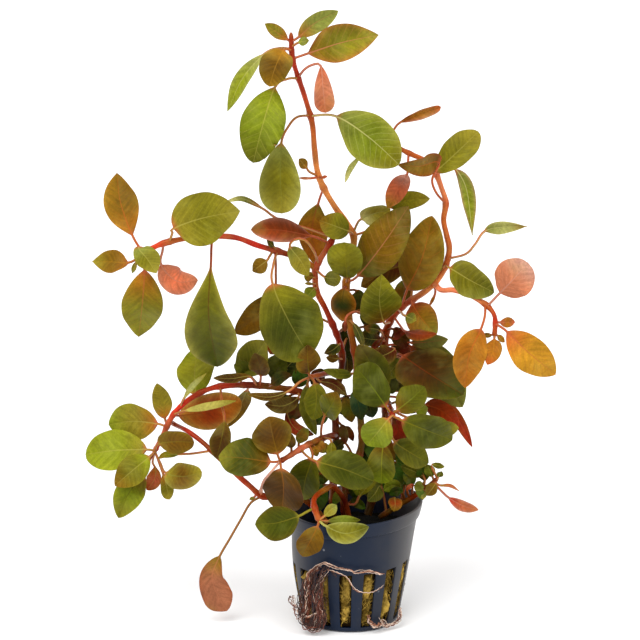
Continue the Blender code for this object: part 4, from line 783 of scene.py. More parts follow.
def leaf_surface(name, curve, stalk_knots, width, roll, fold, widest, look):
    """A closed band round the leaf. At x from -1 to 1 across, its middle surface is
    1.5 fold h (|x|^1.25 - 1/2), where h is half the width, plus cushions between veins, a wavy margin and a
    groove. The skin lies half a thickness to both sides of it, round on the stalk and thin on the blade."""
    along = lengths_along(curve)
    base_at = along[stalk_knots * LEAF_SPAN]
    length = along[-1] - base_at
    small = width < SMALL_LEAF
    wanted = leaf_rows(along, base_at, small)
    spots, ways = at_lengths(curve, wanted)
    seed = seed_of(name)
    share = (wanted - base_at) / length
    inner = np.clip(share, 0, 1)
    half = half_width(share, width, widest, look["base"], look["tip"])
    top, side = leaf_frame(spots, ways, roll + 7 * np.sin(math.pi * inner) * math.sin(9 * seed))
    count = SMALL_COLUMNS if small else LEAF_COLUMNS
    line = np.linspace(-1, 1, count)
    line = np.sign(line) * np.abs(line) ** 1.3
    x = np.concatenate([line, line[::-1]])
    away = np.abs(x)
    up = np.concatenate([np.ones(count), -np.ones(count)])
    open_blade = ease(share, 0.0, 0.12)[:, None]
    millimetres = x * half[:, None]
    reach = np.abs(millimetres)
    phase = wanted[:, None] - base_at - 0.75 * reach - 0.02 * reach ** 2
    phase = phase / max(length / (7.5 + 3 * seed), VEIN_PITCH)
    phase = phase + 0.3 * np.sin(9 * inner[:, None] + 12 * seed + 1.4 * np.sign(x))
    cushion = np.abs(np.sin(math.pi * phase)) ** 0.8 * ease(away, 0.05, 0.3) * (1 - ease(away, 0.7, 1.0))
    wave = np.sin(2 * math.pi * (wanted[:, None] / (0.38 * length) + seed + 0.3 * np.sign(x)))
    margin = MARGIN_WAVE * half[:, None] * away ** 2.5 * wave
    frill = np.sin(2.1 * wanted[:, None] + 4 * np.sin(0.7 * wanted[:, None]))
    frill = frill * (1 + np.sin(0.9 * wanted[:, None]))
    crinkle = np.where(x < 0, look["crinkle"], 0) * half[:, None] * away ** 3 * frill
    bowl = 1.5 * fold * half[:, None] * (away ** 1.25 - 0.5)
    relief = look["cushion"] * np.minimum(half[:, None] / 8, 1) * cushion
    groove = GROOVE_DEPTH * np.exp(-(millimetres / 0.5) ** 2)
    level = open_blade * (bowl + margin + crinkle + relief - groove * (up > 0))
    stalk = PETIOLE_RADIUS * (1 + 0.5 * np.exp(-wanted / 1.2))[:, None]
    stalk = stalk * np.sqrt(np.maximum(1 - x ** 2, 0.01))
    midrib = MIDRIB_HEIGHT * np.exp(-(millimetres / 0.45) ** 2) * (1 - 0.7 * inner[:, None]) * (up < 0)
    sheet = SHEET_EDGE + SHEET_MIDDLE * (1 - x ** 4) + midrib
    thick = stalk * (1 - open_blade) + sheet * open_blade
    raised = (level + up * thick)[..., None]
    points = spots[:, None] + side[:, None] * millimetres[..., None] + top[:, None] * raised
    ends = np.stack([spots[0] - ways[0] * 0.2, spots[-1] + ways[-1] * 0.15])
    across = np.ones((len(wanted), 2 * count))
    tint = leaf_tint(inner[:, None] * across, x * across, up * across > 0, look, abs(roll) > 90)
    stem_part = (1 - ease(share, -0.02, 0.1))[:, None, None]
    tint = tint * (1 - stem_part) + tone(look["stem_tone"]) * stem_part
    tint = tint * (1 + LEAF_CLOUD * noise(points, 7.0, int(90 * seed)))[..., None]
    tint = np.vstack([tint.reshape(-1, 3), tint[0, :1], tint[-1, :1]])
    rib_width = (0.22 + 0.16 * min(width / 20, 1)) * (1 - 0.6 * inner)
    shown = look["ribbed"] * (1 - 0.65 * inner[:, None]) * across
    rib = np.concatenate([tone(look["rib"]) * across[..., None], shown[..., None]], -1).reshape(-1, 4)
    fade = look["veins"] * open_blade * (1 - ease(away, 0.8, 1.0))
    blade = np.stack([millimetres / rib_width[:, None], phase, fade], -1).reshape(-1, 3)
    return {"points": np.vstack([points.reshape(-1, 3), ends]), "material": 1,
            "tint": np.hstack([tint, np.ones((len(tint), 1))]), "rib": np.vstack([rib, rib[:1], rib[-1:]]),
            "blade": np.vstack([blade, [[0, 0.5, 0], [0, 0.5, 0]]]), **ring_faces(len(wanted), 2 * count)}


def leaf_tint(share, x, upper, look, turned):
    """Named colours along the blade, mixed towards the edge colour by x^4, with painted light that makes one
    half lighter and the other darker by light x. The side that is turned away takes the under colour."""
    tint = graded(look["tones"], share)
    edge = (np.abs(x) ** 4 * look["edged"])[..., None]
    tint = tint * (1 - edge) + tone(look["edge"]) * edge
    # Painted light: one half of the blade lighter, the other darker.
    half = (1 + look["light"] * np.tanh(3 * x))[..., None]
    tint = tint * half
    hidden = (upper if turned else ~upper)[..., None]
    under = 0.45 * tint + 0.55 * graded(look["under"], share)
    return np.where(hidden, under, tint)


def leaf(name, parent, stalk, blade, width, tones, roll=0, fold=0.1, widest=0.5, slot="leaf_olive",
         **changes):
    """A leaf grown from a stem, of the common look with its own changes. A narrow one joins its stem's
    piece, and a wider one is a piece of its own. A roll of 0 is replaced by one of six small turns."""
    knots = [place(p) for p in stalk + blade]
    length, knots[0] = nearest_on(parent, knots[0])
    parent["joints"].append((length, 0.4 + 0.6 * min(width / 12, 1)))
    if roll == 0:
        roll = TURNS[int(abs(stalk[0][0]) + abs(stalk[0][1])) % len(TURNS)]
    turned_width = width / abs(math.cos(math.radians(roll)))
    look = {**LEAF_LOOK, **changes, "tones": tones}
    curve = curve_through(knots, LEAF_SPAN)
    surface = leaf_surface(name, curve, len(stalk), turned_width, roll, fold, widest, look)
    if width < GROWN_BELOW:
        parent["surfaces"].append(surface)
        return
    surface["material"] = 0
    make_piece(name + "_blade", [surface], [leaf_skin], [name], 75)


def finish_stem(made):
    """The stem's piece: its own surface and the narrow leaves that grow from it."""
    surfaces = [stem_surface(made)] + made["surfaces"]
    make_piece(made["name"] + "_growth", surfaces, [stem_skin, leaf_skin], [made["name"]], 75)


def plant_skin(name, gloss, shine):
    """Living plant skin with a thin wax: the tint of the point with cloudy patches of 7 mm, fine flecks,
    streaks along the veins and pale patches of painted sheen, side veins and a midrib from the blade values,
    and a slight relief."""
    material, tree, shader = new_material(name)
    place_at = add(tree, "TexCoord", out="Object")
    tint = add(tree, "Attribute", attribute_name="tint")
    rib = add(tree, "Attribute", attribute_name="rib").node.outputs
    blade = add(tree, "Attribute", out="Vector", attribute_name="blade")
    across, phase, fade = add(tree, "SeparateXYZ", {0: blade}).node.outputs
    cloud = add(tree, "TexNoise", {"Vector": place_at, "Scale": 150.0, "Detail": 5.0, "Roughness": 0.6})
    cloud = add(tree, "MapRange",
                {"Value": cloud, "From Min": 0.3, "From Max": 0.7, "To Min": 0.8, "To Max": 1.2})
    fleck = add(tree, "TexNoise", {"Vector": place_at, "Scale": 1300.0, "Detail": 3.0})
    shade = add(tree, "MapRange",
                {"Value": fleck, "From Min": 0.3, "From Max": 0.7, "To Min": 0.88, "To Max": 1.12})
    shade = add(tree, "Math", {0: cloud, 1: shade}, operation="MULTIPLY")
    off_rib = add(tree, "Math", {0: across, 1: 0.03}, operation="MULTIPLY")
    off_vein = add(tree, "Math", {0: phase, 1: 1.6}, operation="MULTIPLY")
    along = add(tree, "CombineXYZ", {0: off_rib, 1: off_vein, 2: cloud})
    streak = add(tree, "TexNoise", {"Vector": along, "Scale": 1.0, "Detail": 4.0, "Roughness": 0.65})
    streak = add(tree, "MapRange",
                 {"Value": streak, "From Min": 0.3, "From Max": 0.7, "To Min": 0.78, "To Max": 1.22})
    shade = add(tree, "Math", {0: shade, 1: streak}, operation="MULTIPLY")
    colour = add(tree, "VectorMath", {0: tint, "Scale": shade}, operation="SCALE")
    # Painted sheen: pale patches mixed into the colour.
    painted_sheen = add(tree, "TexNoise", {"Vector": place_at, "Scale": 75.0, "Detail": 3.0, "Roughness": 0.6})
    painted_sheen = add(tree, "MapRange", {"Value": painted_sheen, "From Min": 0.52, "From Max": 0.75, "To Max": 0.3})
    colour = add(tree, "Mix", {0: painted_sheen, 6: colour, 7: linear(PAINTED_SHEEN)}, 2, data_type="RGBA")
    drift = add(tree, "MapRange", {"Value": fleck, "To Min": -0.1, "To Max": 0.1})
    vein = add(tree, "Math", {0: phase, 1: drift}, operation="ADD")
    vein = add(tree, "Math", {0: vein, 1: 0.5}, operation="PINGPONG")
    vein = add(tree, "MapRange", {"Value": vein, "From Max": 0.07, "To Min": 1.0, "To Max": 0.0},
               interpolation_type="SMOOTHSTEP")
    vein = add(tree, "Math", {0: vein, 1: fade}, operation="MULTIPLY")
    beside = add(tree, "Math", {0: across}, operation="ABSOLUTE")
    line = add(tree, "MapRange",
               {"Value": beside, "From Min": 0.45, "From Max": 1.1, "To Min": 1.0, "To Max": 0.0},
               interpolation_type="SMOOTHSTEP")
    line = add(tree, "Math", {0: line, 1: rib["Alpha"]}, operation="MULTIPLY")
    lines = add(tree, "Math", {0: line, 1: vein}, operation="MAXIMUM")
    colour = add(tree, "Mix", {0: lines, 6: colour, 7: rib["Color"]}, 2, data_type="RGBA")
    tree.links.new(colour, shader.inputs["Base Color"])
    rough = add(tree, "MapRange",
                {"Value": fleck, "From Min": 0.3, "From Max": 0.7, "To Min": gloss, "To Max": gloss + 0.16})
    tree.links.new(rough, shader.inputs["Roughness"])
    height = add(tree, "Math", {0: fleck, 1: 0.35, 2: lines}, operation="MULTIPLY_ADD")
    bump = add(tree, "Bump", {"Height": height, "Strength": 0.25, "Distance": 0.0002})
    tree.links.new(bump, shader.inputs["Normal"])
    shader.inputs["IOR"].default_value = 1.42
    shader.inputs["Specular IOR Level"].default_value = shine
    shader.inputs["Specular Tint"].default_value = linear(WAX_TINT)
    return material


leaf_skin = plant_skin("leaf_skin", 0.34, 0.2)
stem_skin = plant_skin("stem_skin", 0.26, 0.35)
tall = stem("stem_tall", [(-2.5, 42, 0), (-2.5, 54, 0), (0.5, 62, 3), (3.5, 69, 5), (4.5, 77, 6),
    (3.8, 86, 7), (3, 97, 8), (2, 109, 9), (0, 121, 9), (-1.5, 131, 10), (-2, 141, 10), (0, 151, 11),
    (1, 160, 12), (-2, 166, 12), (-6, 171.5, 11), (-11, 180, 9), (-13.5, 187, 8), (-14.6, 196, 6),
    (-15.5, 206, 5), (-18.5, 217, 3), (-21.5, 226, 1), (-23.3, 233, 0), (-23.7, 242, 0)], 1.15, 0.65,
    "wine umber brown ember amber gold apricot apricot orange scarlet red", taper=3)
leaf("leaf_tall_top_right", tall, [(-22.9, 238.6, 0)], [(-20.8, 240.3, -1), (-14.5, 245.6, -3),
     (-5.4, 250.6, -4)], 7.6, "amber sage sage", roll=10, fold=0.2, rib="salmon", edge="straw")
leaf("leaf_tall_top_left", tall, [(-23.9, 238.6, 0)], [(-25, 239.3, 1), (-33.8, 245.6, 4)], 4.8,
     "amber khaki olive", fold=0.3, rib="coral", edge="coral")
leaf("leaf_tall_right_upper", tall, [(-22.8, 231.8, 0)], [(-17.3, 233.8, -2), (-4, 238.2, -5),
     (10.4, 241.2, -3)], 14.6, "bronze olive khaki", roll=-8, fold=0.12, widest=0.45, base=0.9, tip=0.85,
     rib="salmon", ribbed=0.8, veins=0.21, edge="coral", edged=0.5, light=0.1)
leaf("leaf_tall_left_upper", tall, [(-23.8, 235, 0)], [(-26.5, 235.2, -3), (-29.8, 229, -7),
     (-32.3, 220.8, -8)], 12.4, "gold brown bronze", base=0.55, tip=0.55, rib="gold", light=-0.1,
     slot="leaf_brown")
leaf("leaf_tall_pale", tall, [(-23.5, 235.6, 0), (-28, 236, 5)], [(-34, 233.8, 8), (-42.8, 224, 11),
     (-48.7, 211, 14)], 6.2, "pale fresh fresh", roll=10, fold=0.15, base=0.8, tip=0.8, rib="cream",
     edge="pale", edged=0.6)
leaf("leaf_tall_left", tall, [(-21.2, 223.5, 1), (-25, 223.8, -1)], [(-30, 220.5, -3), (-34.8, 206, -8),
     (-38.8, 190.2, -10)], 17.3, "fresh grass moss", roll=8, fold=0.08, base=0.85, tip=0.55, veins=0.21,
     edge="moss", crinkle=0.08, cushion=0.42, slot="leaf_bright")
leaf("leaf_tall_hanging", tall, [(-20, 224.5, 1), (-18.5, 227.5, -1), (-15.5, 229.3, -3)],
     [(-12.2, 229, -4), (-11.2, 220, -6), (-10.2, 210.3, -6)], 8, "coral salmon coral", roll=180,
     widest=0.78, base=0.75, tip=0.45, rib="pink", veins=0.18, edge="pink", under="coral")
leaf("leaf_tall_folded", tall, [(-16, 209, 4), (-21.5, 208.5, 0), (-25, 204.5, -2)], [(-27.6, 198.3, -3),
     (-28.2, 184, -6), (-27.5, 169.6, -8)], 16, "sage olive khaki", roll=15, fold=0.2, widest=0.68,
     base=0.75, tip=0.45, rib="sage", edge="pale", edged=0.5, light=-0.12)
leaf("leaf_tall_right", tall, [(-15.3, 209, 4)], [(-6, 208.8, -1), (6.5, 200.5, -6), (18.8, 189.4, -9)],
     19.5, "sage grass olive", fold=0.08, widest=0.55, base=0.8, tip=0.6, rib="cream", ribbed=0.8,
     veins=0.24, edge="straw", edged=0.4)
leaf("leaf_tall_behind", tall, [(-11, 180, 9)], [(-13, 174, 13), (-15.3, 163, 16), (-13, 147.5, 17)], 12.6,
     "khaki amber amber", fold=0.12, widest=0.42, base=1.1, tip=0.8, rib="coral")
leaf("leaf_tall_bud", tall, [(-13.7, 184.3, 8), (-16.6, 186.5, 6)], [(-17.6, 188, 5), (-20.6, 191.7, 4)], 4,
     "amber bronze bronze")
leaf("leaf_tall_small", tall, [(-22.6, 236.5, 0)], [(-20.8, 238.2, -2), (-16.8, 239, -4)], 3.5,
     "fresh sage olive")
leaf("leaf_tall_stub", tall, [(-13, 184, 8)], [(-11.6, 184.2, 6), (-9.6, 184.7, 5)], 1.4,
     "coral coral coral", ribbed=0)
leaf("leaf_tall_thin", tall, [(-13, 184.2, 8)], [(-16, 183.9, 5), (-20.7, 184, 4)], 1.2,
     "salmon salmon salmon", ribbed=0)
leaf("leaf_mid_left", tall, [(1, 161, 12)], [(-0.8, 162.3, 8), (-6.5, 164.6, 6), (-12.5, 166.8, 7)], 10.5,
     "moss olive bronze")
leaf("leaf_mid_striped", tall, [(1.4, 161.5, 12), (2.4, 165.5, 11)], [(4, 167.3, 9), (9, 169, 7),
     (15.5, 171.2, 9)], 8.5, "cream khaki khaki", roll=20, fold=0.35, widest=0.4, rib="pale", ribbed=1,
     edge="pale", edged=0.7)
leaf("leaf_mid_olive", tall, [(1.2, 160.6, 12), (7, 163, 14), (11, 168, 15)], [(15, 172, 14),
     (22.5, 175, 12), (31, 175.6, 10)], 7.5, "moss olive khaki", roll=10, fold=0.15, rib="khaki")
leaf("leaf_mid_heart", tall, [(-2, 141.3, 10)], [(-1.6, 143, 5), (-2.4, 151, -1), (-2.8, 157.8, -2)], 14,
     "moss olive olive", fold=0.12, widest=0.72, tip=0.4, rib="khaki", veins=0.09, edge="sage")
# The dark middle and midrib of this cupped leaf are painted shade in its hollow.
leaf("leaf_mid_hollow", tall, [(-1.8, 139, 10)], [(-2.6, 139, 7), (-3.4, 132, 6), (-3.4, 125.2, 7)], 10.6,
     "bronze shade amber", fold=-0.3, rib="shade", edge="amber", edged=0.9)
leaf("leaf_mid_narrow", tall, [(-0.6, 126, 10)], [(0.8, 124.5, 6), (3.2, 120, 4), (5, 114.5, 3)], 3.4,
     "umber shade umber")
leaf("leaf_mid_spear", tall, [(2.4, 104.3, 8)], [(0.4, 103.4, 4), (-5, 103.3, 1), (-11, 105, -1)], 4.4,
     "deep moss moss", widest=0.4, rib="olive")
leaf("leaf_mid_wide", tall, [(-2, 141.4, 10)], [(2.6, 144, 8), (12.5, 157, 1), (22.6, 172.4, 2)], 17.5,
     "moss bronze brown", base=0.75, rib="salmon", ribbed=0.75, veins=0.18, edge="moss", edged=0.5,
     light=-0.06, slot="leaf_brown")
leaf("leaf_pot_rolled", tall, [(-2.5, 48.5, 0), (1.8, 48, -6)], [(3.6, 51.5, -9), (6.5, 55, -12),
     (11.5, 60.5, -13)], 3.4, "olive olive moss", roll=30)

# Middle stem
# A shoot beside the tall one, dark below and orange-red above, with small rust and olive leaves. Its top
# bends over to a rust-red leaf.
middle = stem("stem_middle", [(-7, 43, 4), (-7, 60, 7), (-6, 76, 10), (-6.2, 85, 11), (-5.5, 96, 12),
    (-3.6, 107, 14), (-4, 114, 15), (-5.8, 120, 14), (-10, 130, 12), (-13.5, 137, 10), (-14.3, 142, 9),
    (-14, 147.5, 8), (-9.5, 155.5, 7), (-7, 159.5, 7)], 1.25, 0.9,
    "brown rust umber wine umber wine red scarlet orange coral scarlet")
leaf("leaf_middle_rust", middle, [(-8.6, 157.2, 7), (-11.5, 158.8, 5)], [(-15.5, 160.3, 3),
     (-28, 162.8, -1), (-39.7, 163, 0)], 9.6, "rust rust rust", roll=10, fold=0.12, widest=0.6, base=1,
     tip=0.6, rib="coral", veins=0.18, edge="pink", edged=0.45, light=-0.2)
leaf("leaf_middle_slender", middle, [(-7, 160, 7), (-16, 163, 9), (-26, 166, 8), (-31, 168.5, 7)],
     [(-35, 171.5, 6), (-43, 175.6, 5), (-50, 174.3, 4)], 2.2, "coral sage cream", rib="cream")
leaf("leaf_middle_arched", middle, [(-13.9, 149.5, 7), (-14.8, 154, -1), (-18, 158.4, -6),
     (-22, 159.2, -7)], [(-24.4, 156, -5), (-20.2, 150, -4), (-17, 144.2, -3)], 7.8, "moss khaki khaki",
     roll=160, edge="straw", under="khaki")
leaf("leaf_middle_green", middle, [(-13.8, 146.6, 8)], [(-10.6, 143.6, 5), (-7.4, 143, 4), (-4, 143.2, 3)],
     6.4, "moss grey olive")
leaf("leaf_middle_bud_a", middle, [(-14.2, 143.5, 9)], [(-15.2, 143.6, 7), (-18.7, 143.8, 6)], 4.2,
     "brown bronze olive")
leaf("leaf_middle_bud_b", middle, [(-13.8, 138.8, 10)], [(-14.6, 139, 7), (-18, 135, 6)], 5.2,
     "olive grass sage")
leaf("leaf_middle_dark_bud", middle, [(-14.2, 140.6, 9)], [(-15.4, 140.7, 7), (-18.4, 141, 6)], 1.3,
     "umber bronze khaki")
leaf("leaf_middle_spear", middle, [(-4.4, 116, 15)], [(-4.8, 115.5, 12), (-7.5, 113.2, 10),
     (-10.6, 111.9, 9)], 4.5, "deep shade umber", roll=20, widest=0.4)
leaf("leaf_middle_small", middle, [(-3.8, 109.6, 14)], [(-4.9, 109.7, 11), (-9.8, 110.2, 8)], 3.8,
     "bronze brown brown")
leaf("leaf_middle_dark", middle, [(-3.9, 112, 15)], [(-1.8, 118, 20), (-1.5, 111, 22), (-1.2, 103, 22)], 8,
     "shade shade umber")
leaf("leaf_middle_back", middle, [(-7.5, 124, 13)], [(-18, 128, 14), (-27.5, 120, 14), (-32.4, 111.6, 13)],
     15, "moss umber rust", roll=180, rib="olive", under="rust", slot="leaf_brown")

# Upper left arm
# A bright red side shoot of the middle stem that lies nearly level and ends in orange, olive and pink
# leaves.
arm_left = stem("arm_upper_left", [(-14.2, 147.3, 8.5), (-17.5, 149.6, 8), (-21, 151.5, 6), (-27, 153.5, 4),
    (-37, 156.5, 1), (-47, 160, -2), (-60, 160, -4), (-69, 158.8, -4), (-77, 156.5, -3), (-84, 152, -2)],
    1.1, 0.8, "amber coral ember coral crimson scarlet scarlet crimson crimson orange crimson rust", middle)
leaf("leaf_arm_left_upright", arm_left, [(-82.5, 153, -2.4)], [(-86.8, 160.5, -1), (-91.3, 174, 3),
     (-92.6, 186, 9)], 13.2, "amber bronze bronze", roll=10, fold=0.12, widest=0.48, base=0.9, tip=0.85,
     rib="orange", ribbed=0.6, veins=0.18, edge="gold", light=-0.12, slot="leaf_amber")
leaf("leaf_arm_left_end", arm_left, [(-84, 152, -2)], [(-88.5, 149.5, 0), (-95, 149.9, 4), (-103, 150, 7)],
     9.4, "amber bronze khaki", fold=0.12, base=0.85, tip=0.95, rib="gold", edge="gold")
leaf("leaf_arm_left_down", arm_left, [(-83.3, 152.4, -2)], [(-82.3, 146.5, -5), (-83.2, 134, -10),
     (-85, 118.8, -13)], 16, "amber olive olive", roll=-8, widest=0.42, base=0.75, tip=0.85, rib="coral",
     edged=0.5, light=0.15)
leaf("leaf_arm_left_small", arm_left, [(-80.5, 154.8, -3)], [(-84.6, 155.6, -6), (-81, 151, -9),
     (-77.6, 145.2, -12)], 9, "sage olive khaki", fold=0.12, base=0.5, tip=0.8)
leaf("leaf_arm_left_wide", arm_left, [(-72.3, 158, -4), (-71, 161.5, -6)], [(-70.5, 163.5, -7),
     (-59, 167.5, -11), (-44.1, 170.6, -13)], 21, "khaki olive khaki", widest=0.38, base=0.5, tip=0.85,
     veins=0.15, slot="leaf_bright")
leaf("leaf_arm_left_pink", arm_left, [(-74.4, 157.3, -3.4), (-75, 154.3, -1)], [(-75.6, 148.5, 1),
     (-69.5, 141.8, 4), (-61.2, 142.2, 6)], 10.6, "salmon melon salmon", roll=180, base=0.6, tip=0.6,
     rib="pink", edge="pink", edged=0.6)
leaf("leaf_arm_left_long", arm_left, [(-55.2, 159.9, -3.4), (-55.6, 155, -7)], [(-55.8, 149, -9),
     (-57, 127, -14), (-53.6, 106.3, -12)], 20.6, "olive moss deep", roll=6, fold=0.08, widest=0.63,
     base=1.3, tip=0.66, rib="wine", ribbed=0.6, veins=0.12, edge="straw", edged=0.45)
leaf("leaf_arm_left_tiny", arm_left, [(-84, 152, -2)], [(-85.5, 149.8, -3), (-87.2, 145.2, -3)], 2,
     "bronze khaki sage")
leaf("leaf_arm_left_round", arm_left, [(-31, 154.7, 3), (-32.8, 151.6, 1)], [(-33.6, 150.3, 0),
     (-39.2, 146, -2)], 6.2, "bronze bronze brown")
leaf("leaf_arm_left_dark", arm_left, [(-30, 154.4, 3)], [(-30.8, 156, 1), (-33.4, 158.6, 0)], 2.6,
     "umber moss umber")
leaf("leaf_arm_left_great", arm_left, [(-29.4, 154, 3.2), (-31, 148.5, -3)], [(-31.3, 140.8, -7),
     (-25, 126.3, -12), (-16.6, 111, -10)], 24.6, "olive deep moss", widest=0.55, base=0.6, tip=0.45,
     ribbed=0.35, veins=0.07, light=-0.1)
leaf("leaf_arm_left_back", arm_left, [(-31, 154, 3.6), (-30, 146, 4)], [(-31, 137, 2), (-39, 126, 0),
     (-46.3, 120.3, 0)], 10.5, "umber brown brown", base=0.7, tip=0.6, rib="bronze", edge="moss")

# Right stem
# The thickest shoot, dark at its foot and orange above. It arches right and back to the left, and bears
# some of the largest leaves.
right = stem("stem_right", [(7, 43.5, 6), (10, 55, 9), (13, 66, 12), (14, 78, 14), (14, 92, 16),
    (13.2, 106, 18), (13.5, 118, 18), (16, 126, 17), (20, 131, 16), (25, 134.5, 15), (30, 138, 13),
    (34, 142, 12), (37.5, 148, 11), (39, 155, 11), (37.8, 161, 11), (36.6, 167, 10), (37.4, 174, 8),
    (35.6, 180, 8), (33, 186.5, 8), (29, 191, 7), (24, 193.4, 7), (20, 195.4, 8), (16, 198.2, 9),
    (13, 201, 9)], 1.4, 0.75,
    "umber umber brown wine wine rust coral apricot orange orange melon orange brown")
leaf("leaf_right_rolled", right, [(14.6, 199.4, 9), (16.2, 202.6, 8)], [(19, 206.3, 7), (26.5, 209.6, 6),
     (35, 212.6, 3)], 4, "rust amber orange", roll=25, fold=0.5, widest=0.6, base=0.7, tip=0.35, rib="gold",
     edge="pink", edged=0.6, under="pink")
leaf("leaf_right_slender", right, [(13, 200.6, 9), (8, 198, 9)], [(3.4, 192.8, 7), (-0.6, 187.6, 6),
     (-2.4, 182.3, 5)], 2.4, "sage pale cream")
leaf("leaf_right_bright", right, [(33.6, 185.6, 8)], [(33.4, 186.6, 4), (41.6, 194.6, 0), (49.8, 202.8, 0)],
     11.6, "olive olive khaki", widest=0.58, base=0.55, tip=0.5, ribbed=0.4, slot="leaf_bright")
leaf("leaf_right_hanging", right, [(33.6, 186, 8), (36.8, 188.4, 10)], [(41, 187.4, 9), (45.6, 179.5, 8),
     (48.1, 160.8, 6)], 5.8, "sage fresh khaki", fold=0.15, widest=0.3, base=0.6, tip=1, rib="cream",
     ribbed=0.8, edge="pink", edged=0.5)
leaf("leaf_right_canoe", right, [(36.8, 173.6, 8), (33.6, 178, 4), (31.9, 183.5, 1)], [(34.6, 190.4, 0),
     (27, 188.6, -4), (18.3, 189.4, -6)], 8, "brown bronze brown", roll=-25, fold=0.2, widest=0.3,
     base=0.35, tip=0.8, rib="orange", edge="red", edged=0.5, under="coral")
leaf("leaf_right_folded", right, [(22.4, 193.8, 7), (22.2, 188, 5)], [(22, 185.5, 4), (19, 180.5, 1),
     (14.3, 172, 0)], 7.6, "pink coral bronze", roll=15, fold=0.3, rib="coral", edge="coral", edged=0.4)
leaf("leaf_right_olive", right, [(20.4, 131.4, 16)], [(22.4, 138.5, 11), (28.2, 152, 6), (32, 168.6, 5)],
     17.5, "bronze bronze bronze", rib="orange", ribbed=0.6, veins=0.18, edged=0.5)
leaf("leaf_right_back", right, [(23.6, 134, 15), (24.4, 142, 20)], [(23, 148, 22), (14, 146, 22),
     (4, 139.6, 21)], 10.5, "wine umber brown", roll=180, rib="olive", under="brown")
leaf("leaf_right_green", right, [(15.4, 124.8, 17), (14.6, 124.6, 10)], [(13, 125.2, 4), (11.5, 134, -2),
     (12.2, 144.6, -3)], 17.6, "brown moss olive", widest=0.42, tip=0.9, ribbed=0.4, veins=0.15, light=0.1)
leaf("leaf_right_side", right, [(38, 148.2, 11)], [(39.5, 147.2, 8), (47.5, 142, 4), (57, 137.2, 3)], 13.4,
     "olive olive moss", base=0.55, tip=0.6, ribbed=0.7, veins=0.21, edge="straw")
leaf("leaf_right_winged", right, [(39, 151, 11), (45.5, 153, 9), (49.2, 157, 8)], [(53, 162.4, 7),
     (60, 163.9, 4), (69.6, 164.3, 2)], 5, "sage pale bronze", roll=20, fold=0.2, widest=0.35, base=0.6,
     tip=1, rib="cream", edge="cream", edged=0.6)
leaf("leaf_right_brown", right, [(24.4, 134.2, 15)], [(24.6, 132.4, 12), (28, 126.5, 8), (34.2, 119.6, 8)],
     13, "rust bronze khaki", rib="orange", veins=0.21, edge="coral", light=-0.05, slot="leaf_brown")
leaf("leaf_right_pink", right, [(17.2, 127.5, 17), (20, 123, 12)], [(22, 121, 5), (28, 119.4, -3),
     (34.4, 120, -4)], 4.6, "wine rust rust", roll=150, rib="coral", under="rust")
leaf("leaf_right_grey", right, [(13.8, 119, 18), (18, 118, 16)], [(24, 116.4, 13), (31, 116.6, 11),
     (38.8, 117.8, 11)], 6.2, "umber grey grey", widest=0.6, rib="coral")
leaf("leaf_right_inner", right, [(19, 130, 16.5), (20, 129, 8), (20.8, 128, 0)], [(22, 127.4, -3),
     (26, 125.6, -5)], 4.6, "moss grey khaki")
leaf("leaf_right_beak", right, [(37.6, 148.8, 11)], [(36.4, 147.4, 9), (33, 147.6, 7)], 3,
     "bronze bronze khaki", widest=0.4)
leaf("leaf_right_stub", right, [(33, 140.4, 12)], [(33.6, 137, 14), (31.2, 131.3, 16)], 1.4,
     "coral amber salmon", ribbed=0)
leaf("leaf_right_hooked", right, [(13.6, 120.6, 18), (8, 124.5, 13), (3, 129, 4), (-0.9, 128.2, 1)],
     [(-2.3, 125.4, 0), (-2.4, 121, 0)], 2.6, "red wine wine", rib="salmon")
leaf("leaf_right_red_inner", right, [(13.5, 117.6, 18)], [(11.5, 121.4, 11), (5.5, 122.7, 6)], 4.4,
     "umber deep rust")
leaf("leaf_right_dark_inner", right, [(13.5, 117, 18)], [(12.5, 117.6, 13), (7, 118, 9), (1.5, 119.5, 8)],
     6.4, "wine shade umber")
leaf("leaf_right_shadow", right, [(13.4, 113, 18), (15.4, 114, 14)], [(17.5, 113.6, 10), (12.5, 111, 6),
     (7.5, 112, 5)], 8, "wine umber wine")
leaf("leaf_right_great", right, [(13.3, 110.4, 18), (18, 111.4, 14)], [(20.8, 110.8, 8), (32, 103.5, 0),
     (45.4, 94.6, -2)], 22.5, "umber umber deep", fold=0.08, rib="rust", ribbed=0.7, veins=0.12,
     edge="olive", edged=0.35, light=0.08, slot="leaf_brown")
leaf("leaf_right_margin", right, [(13.4, 115, 18), (18, 115.6, 18)], [(24, 114.6, 16), (35, 105, 12),
     (45, 89.4, 10)], 17.6, "umber moss sage", fold=0.08, rib="rust", edge="sage", edged=0.7,
     slot="leaf_bright")
leaf("leaf_right_wedge", right, [(13.2, 108, 18), (17.4, 110, 15)], [(19.6, 109.6, 12), (17, 105.5, 8),
     (13.6, 101, 6)], 6.6, "moss moss deep")
leaf("leaf_right_red_wing", right, [(14, 94, 16), (22, 93, 10)], [(30, 90.4, 7), (37, 87.5, 5),
     (43.4, 81.6, 5)], 8.5, "rust ember red", widest=0.4, rib="orange", edge="rust")
leaf("leaf_right_sickle", right, [(14, 96, 16), (27, 96, 18)], [(37, 92.4, 18), (43.6, 83.6, 15),
     (49.1, 72.6, 14)], 4.6, "red red scarlet", widest=0.4, rib="coral")

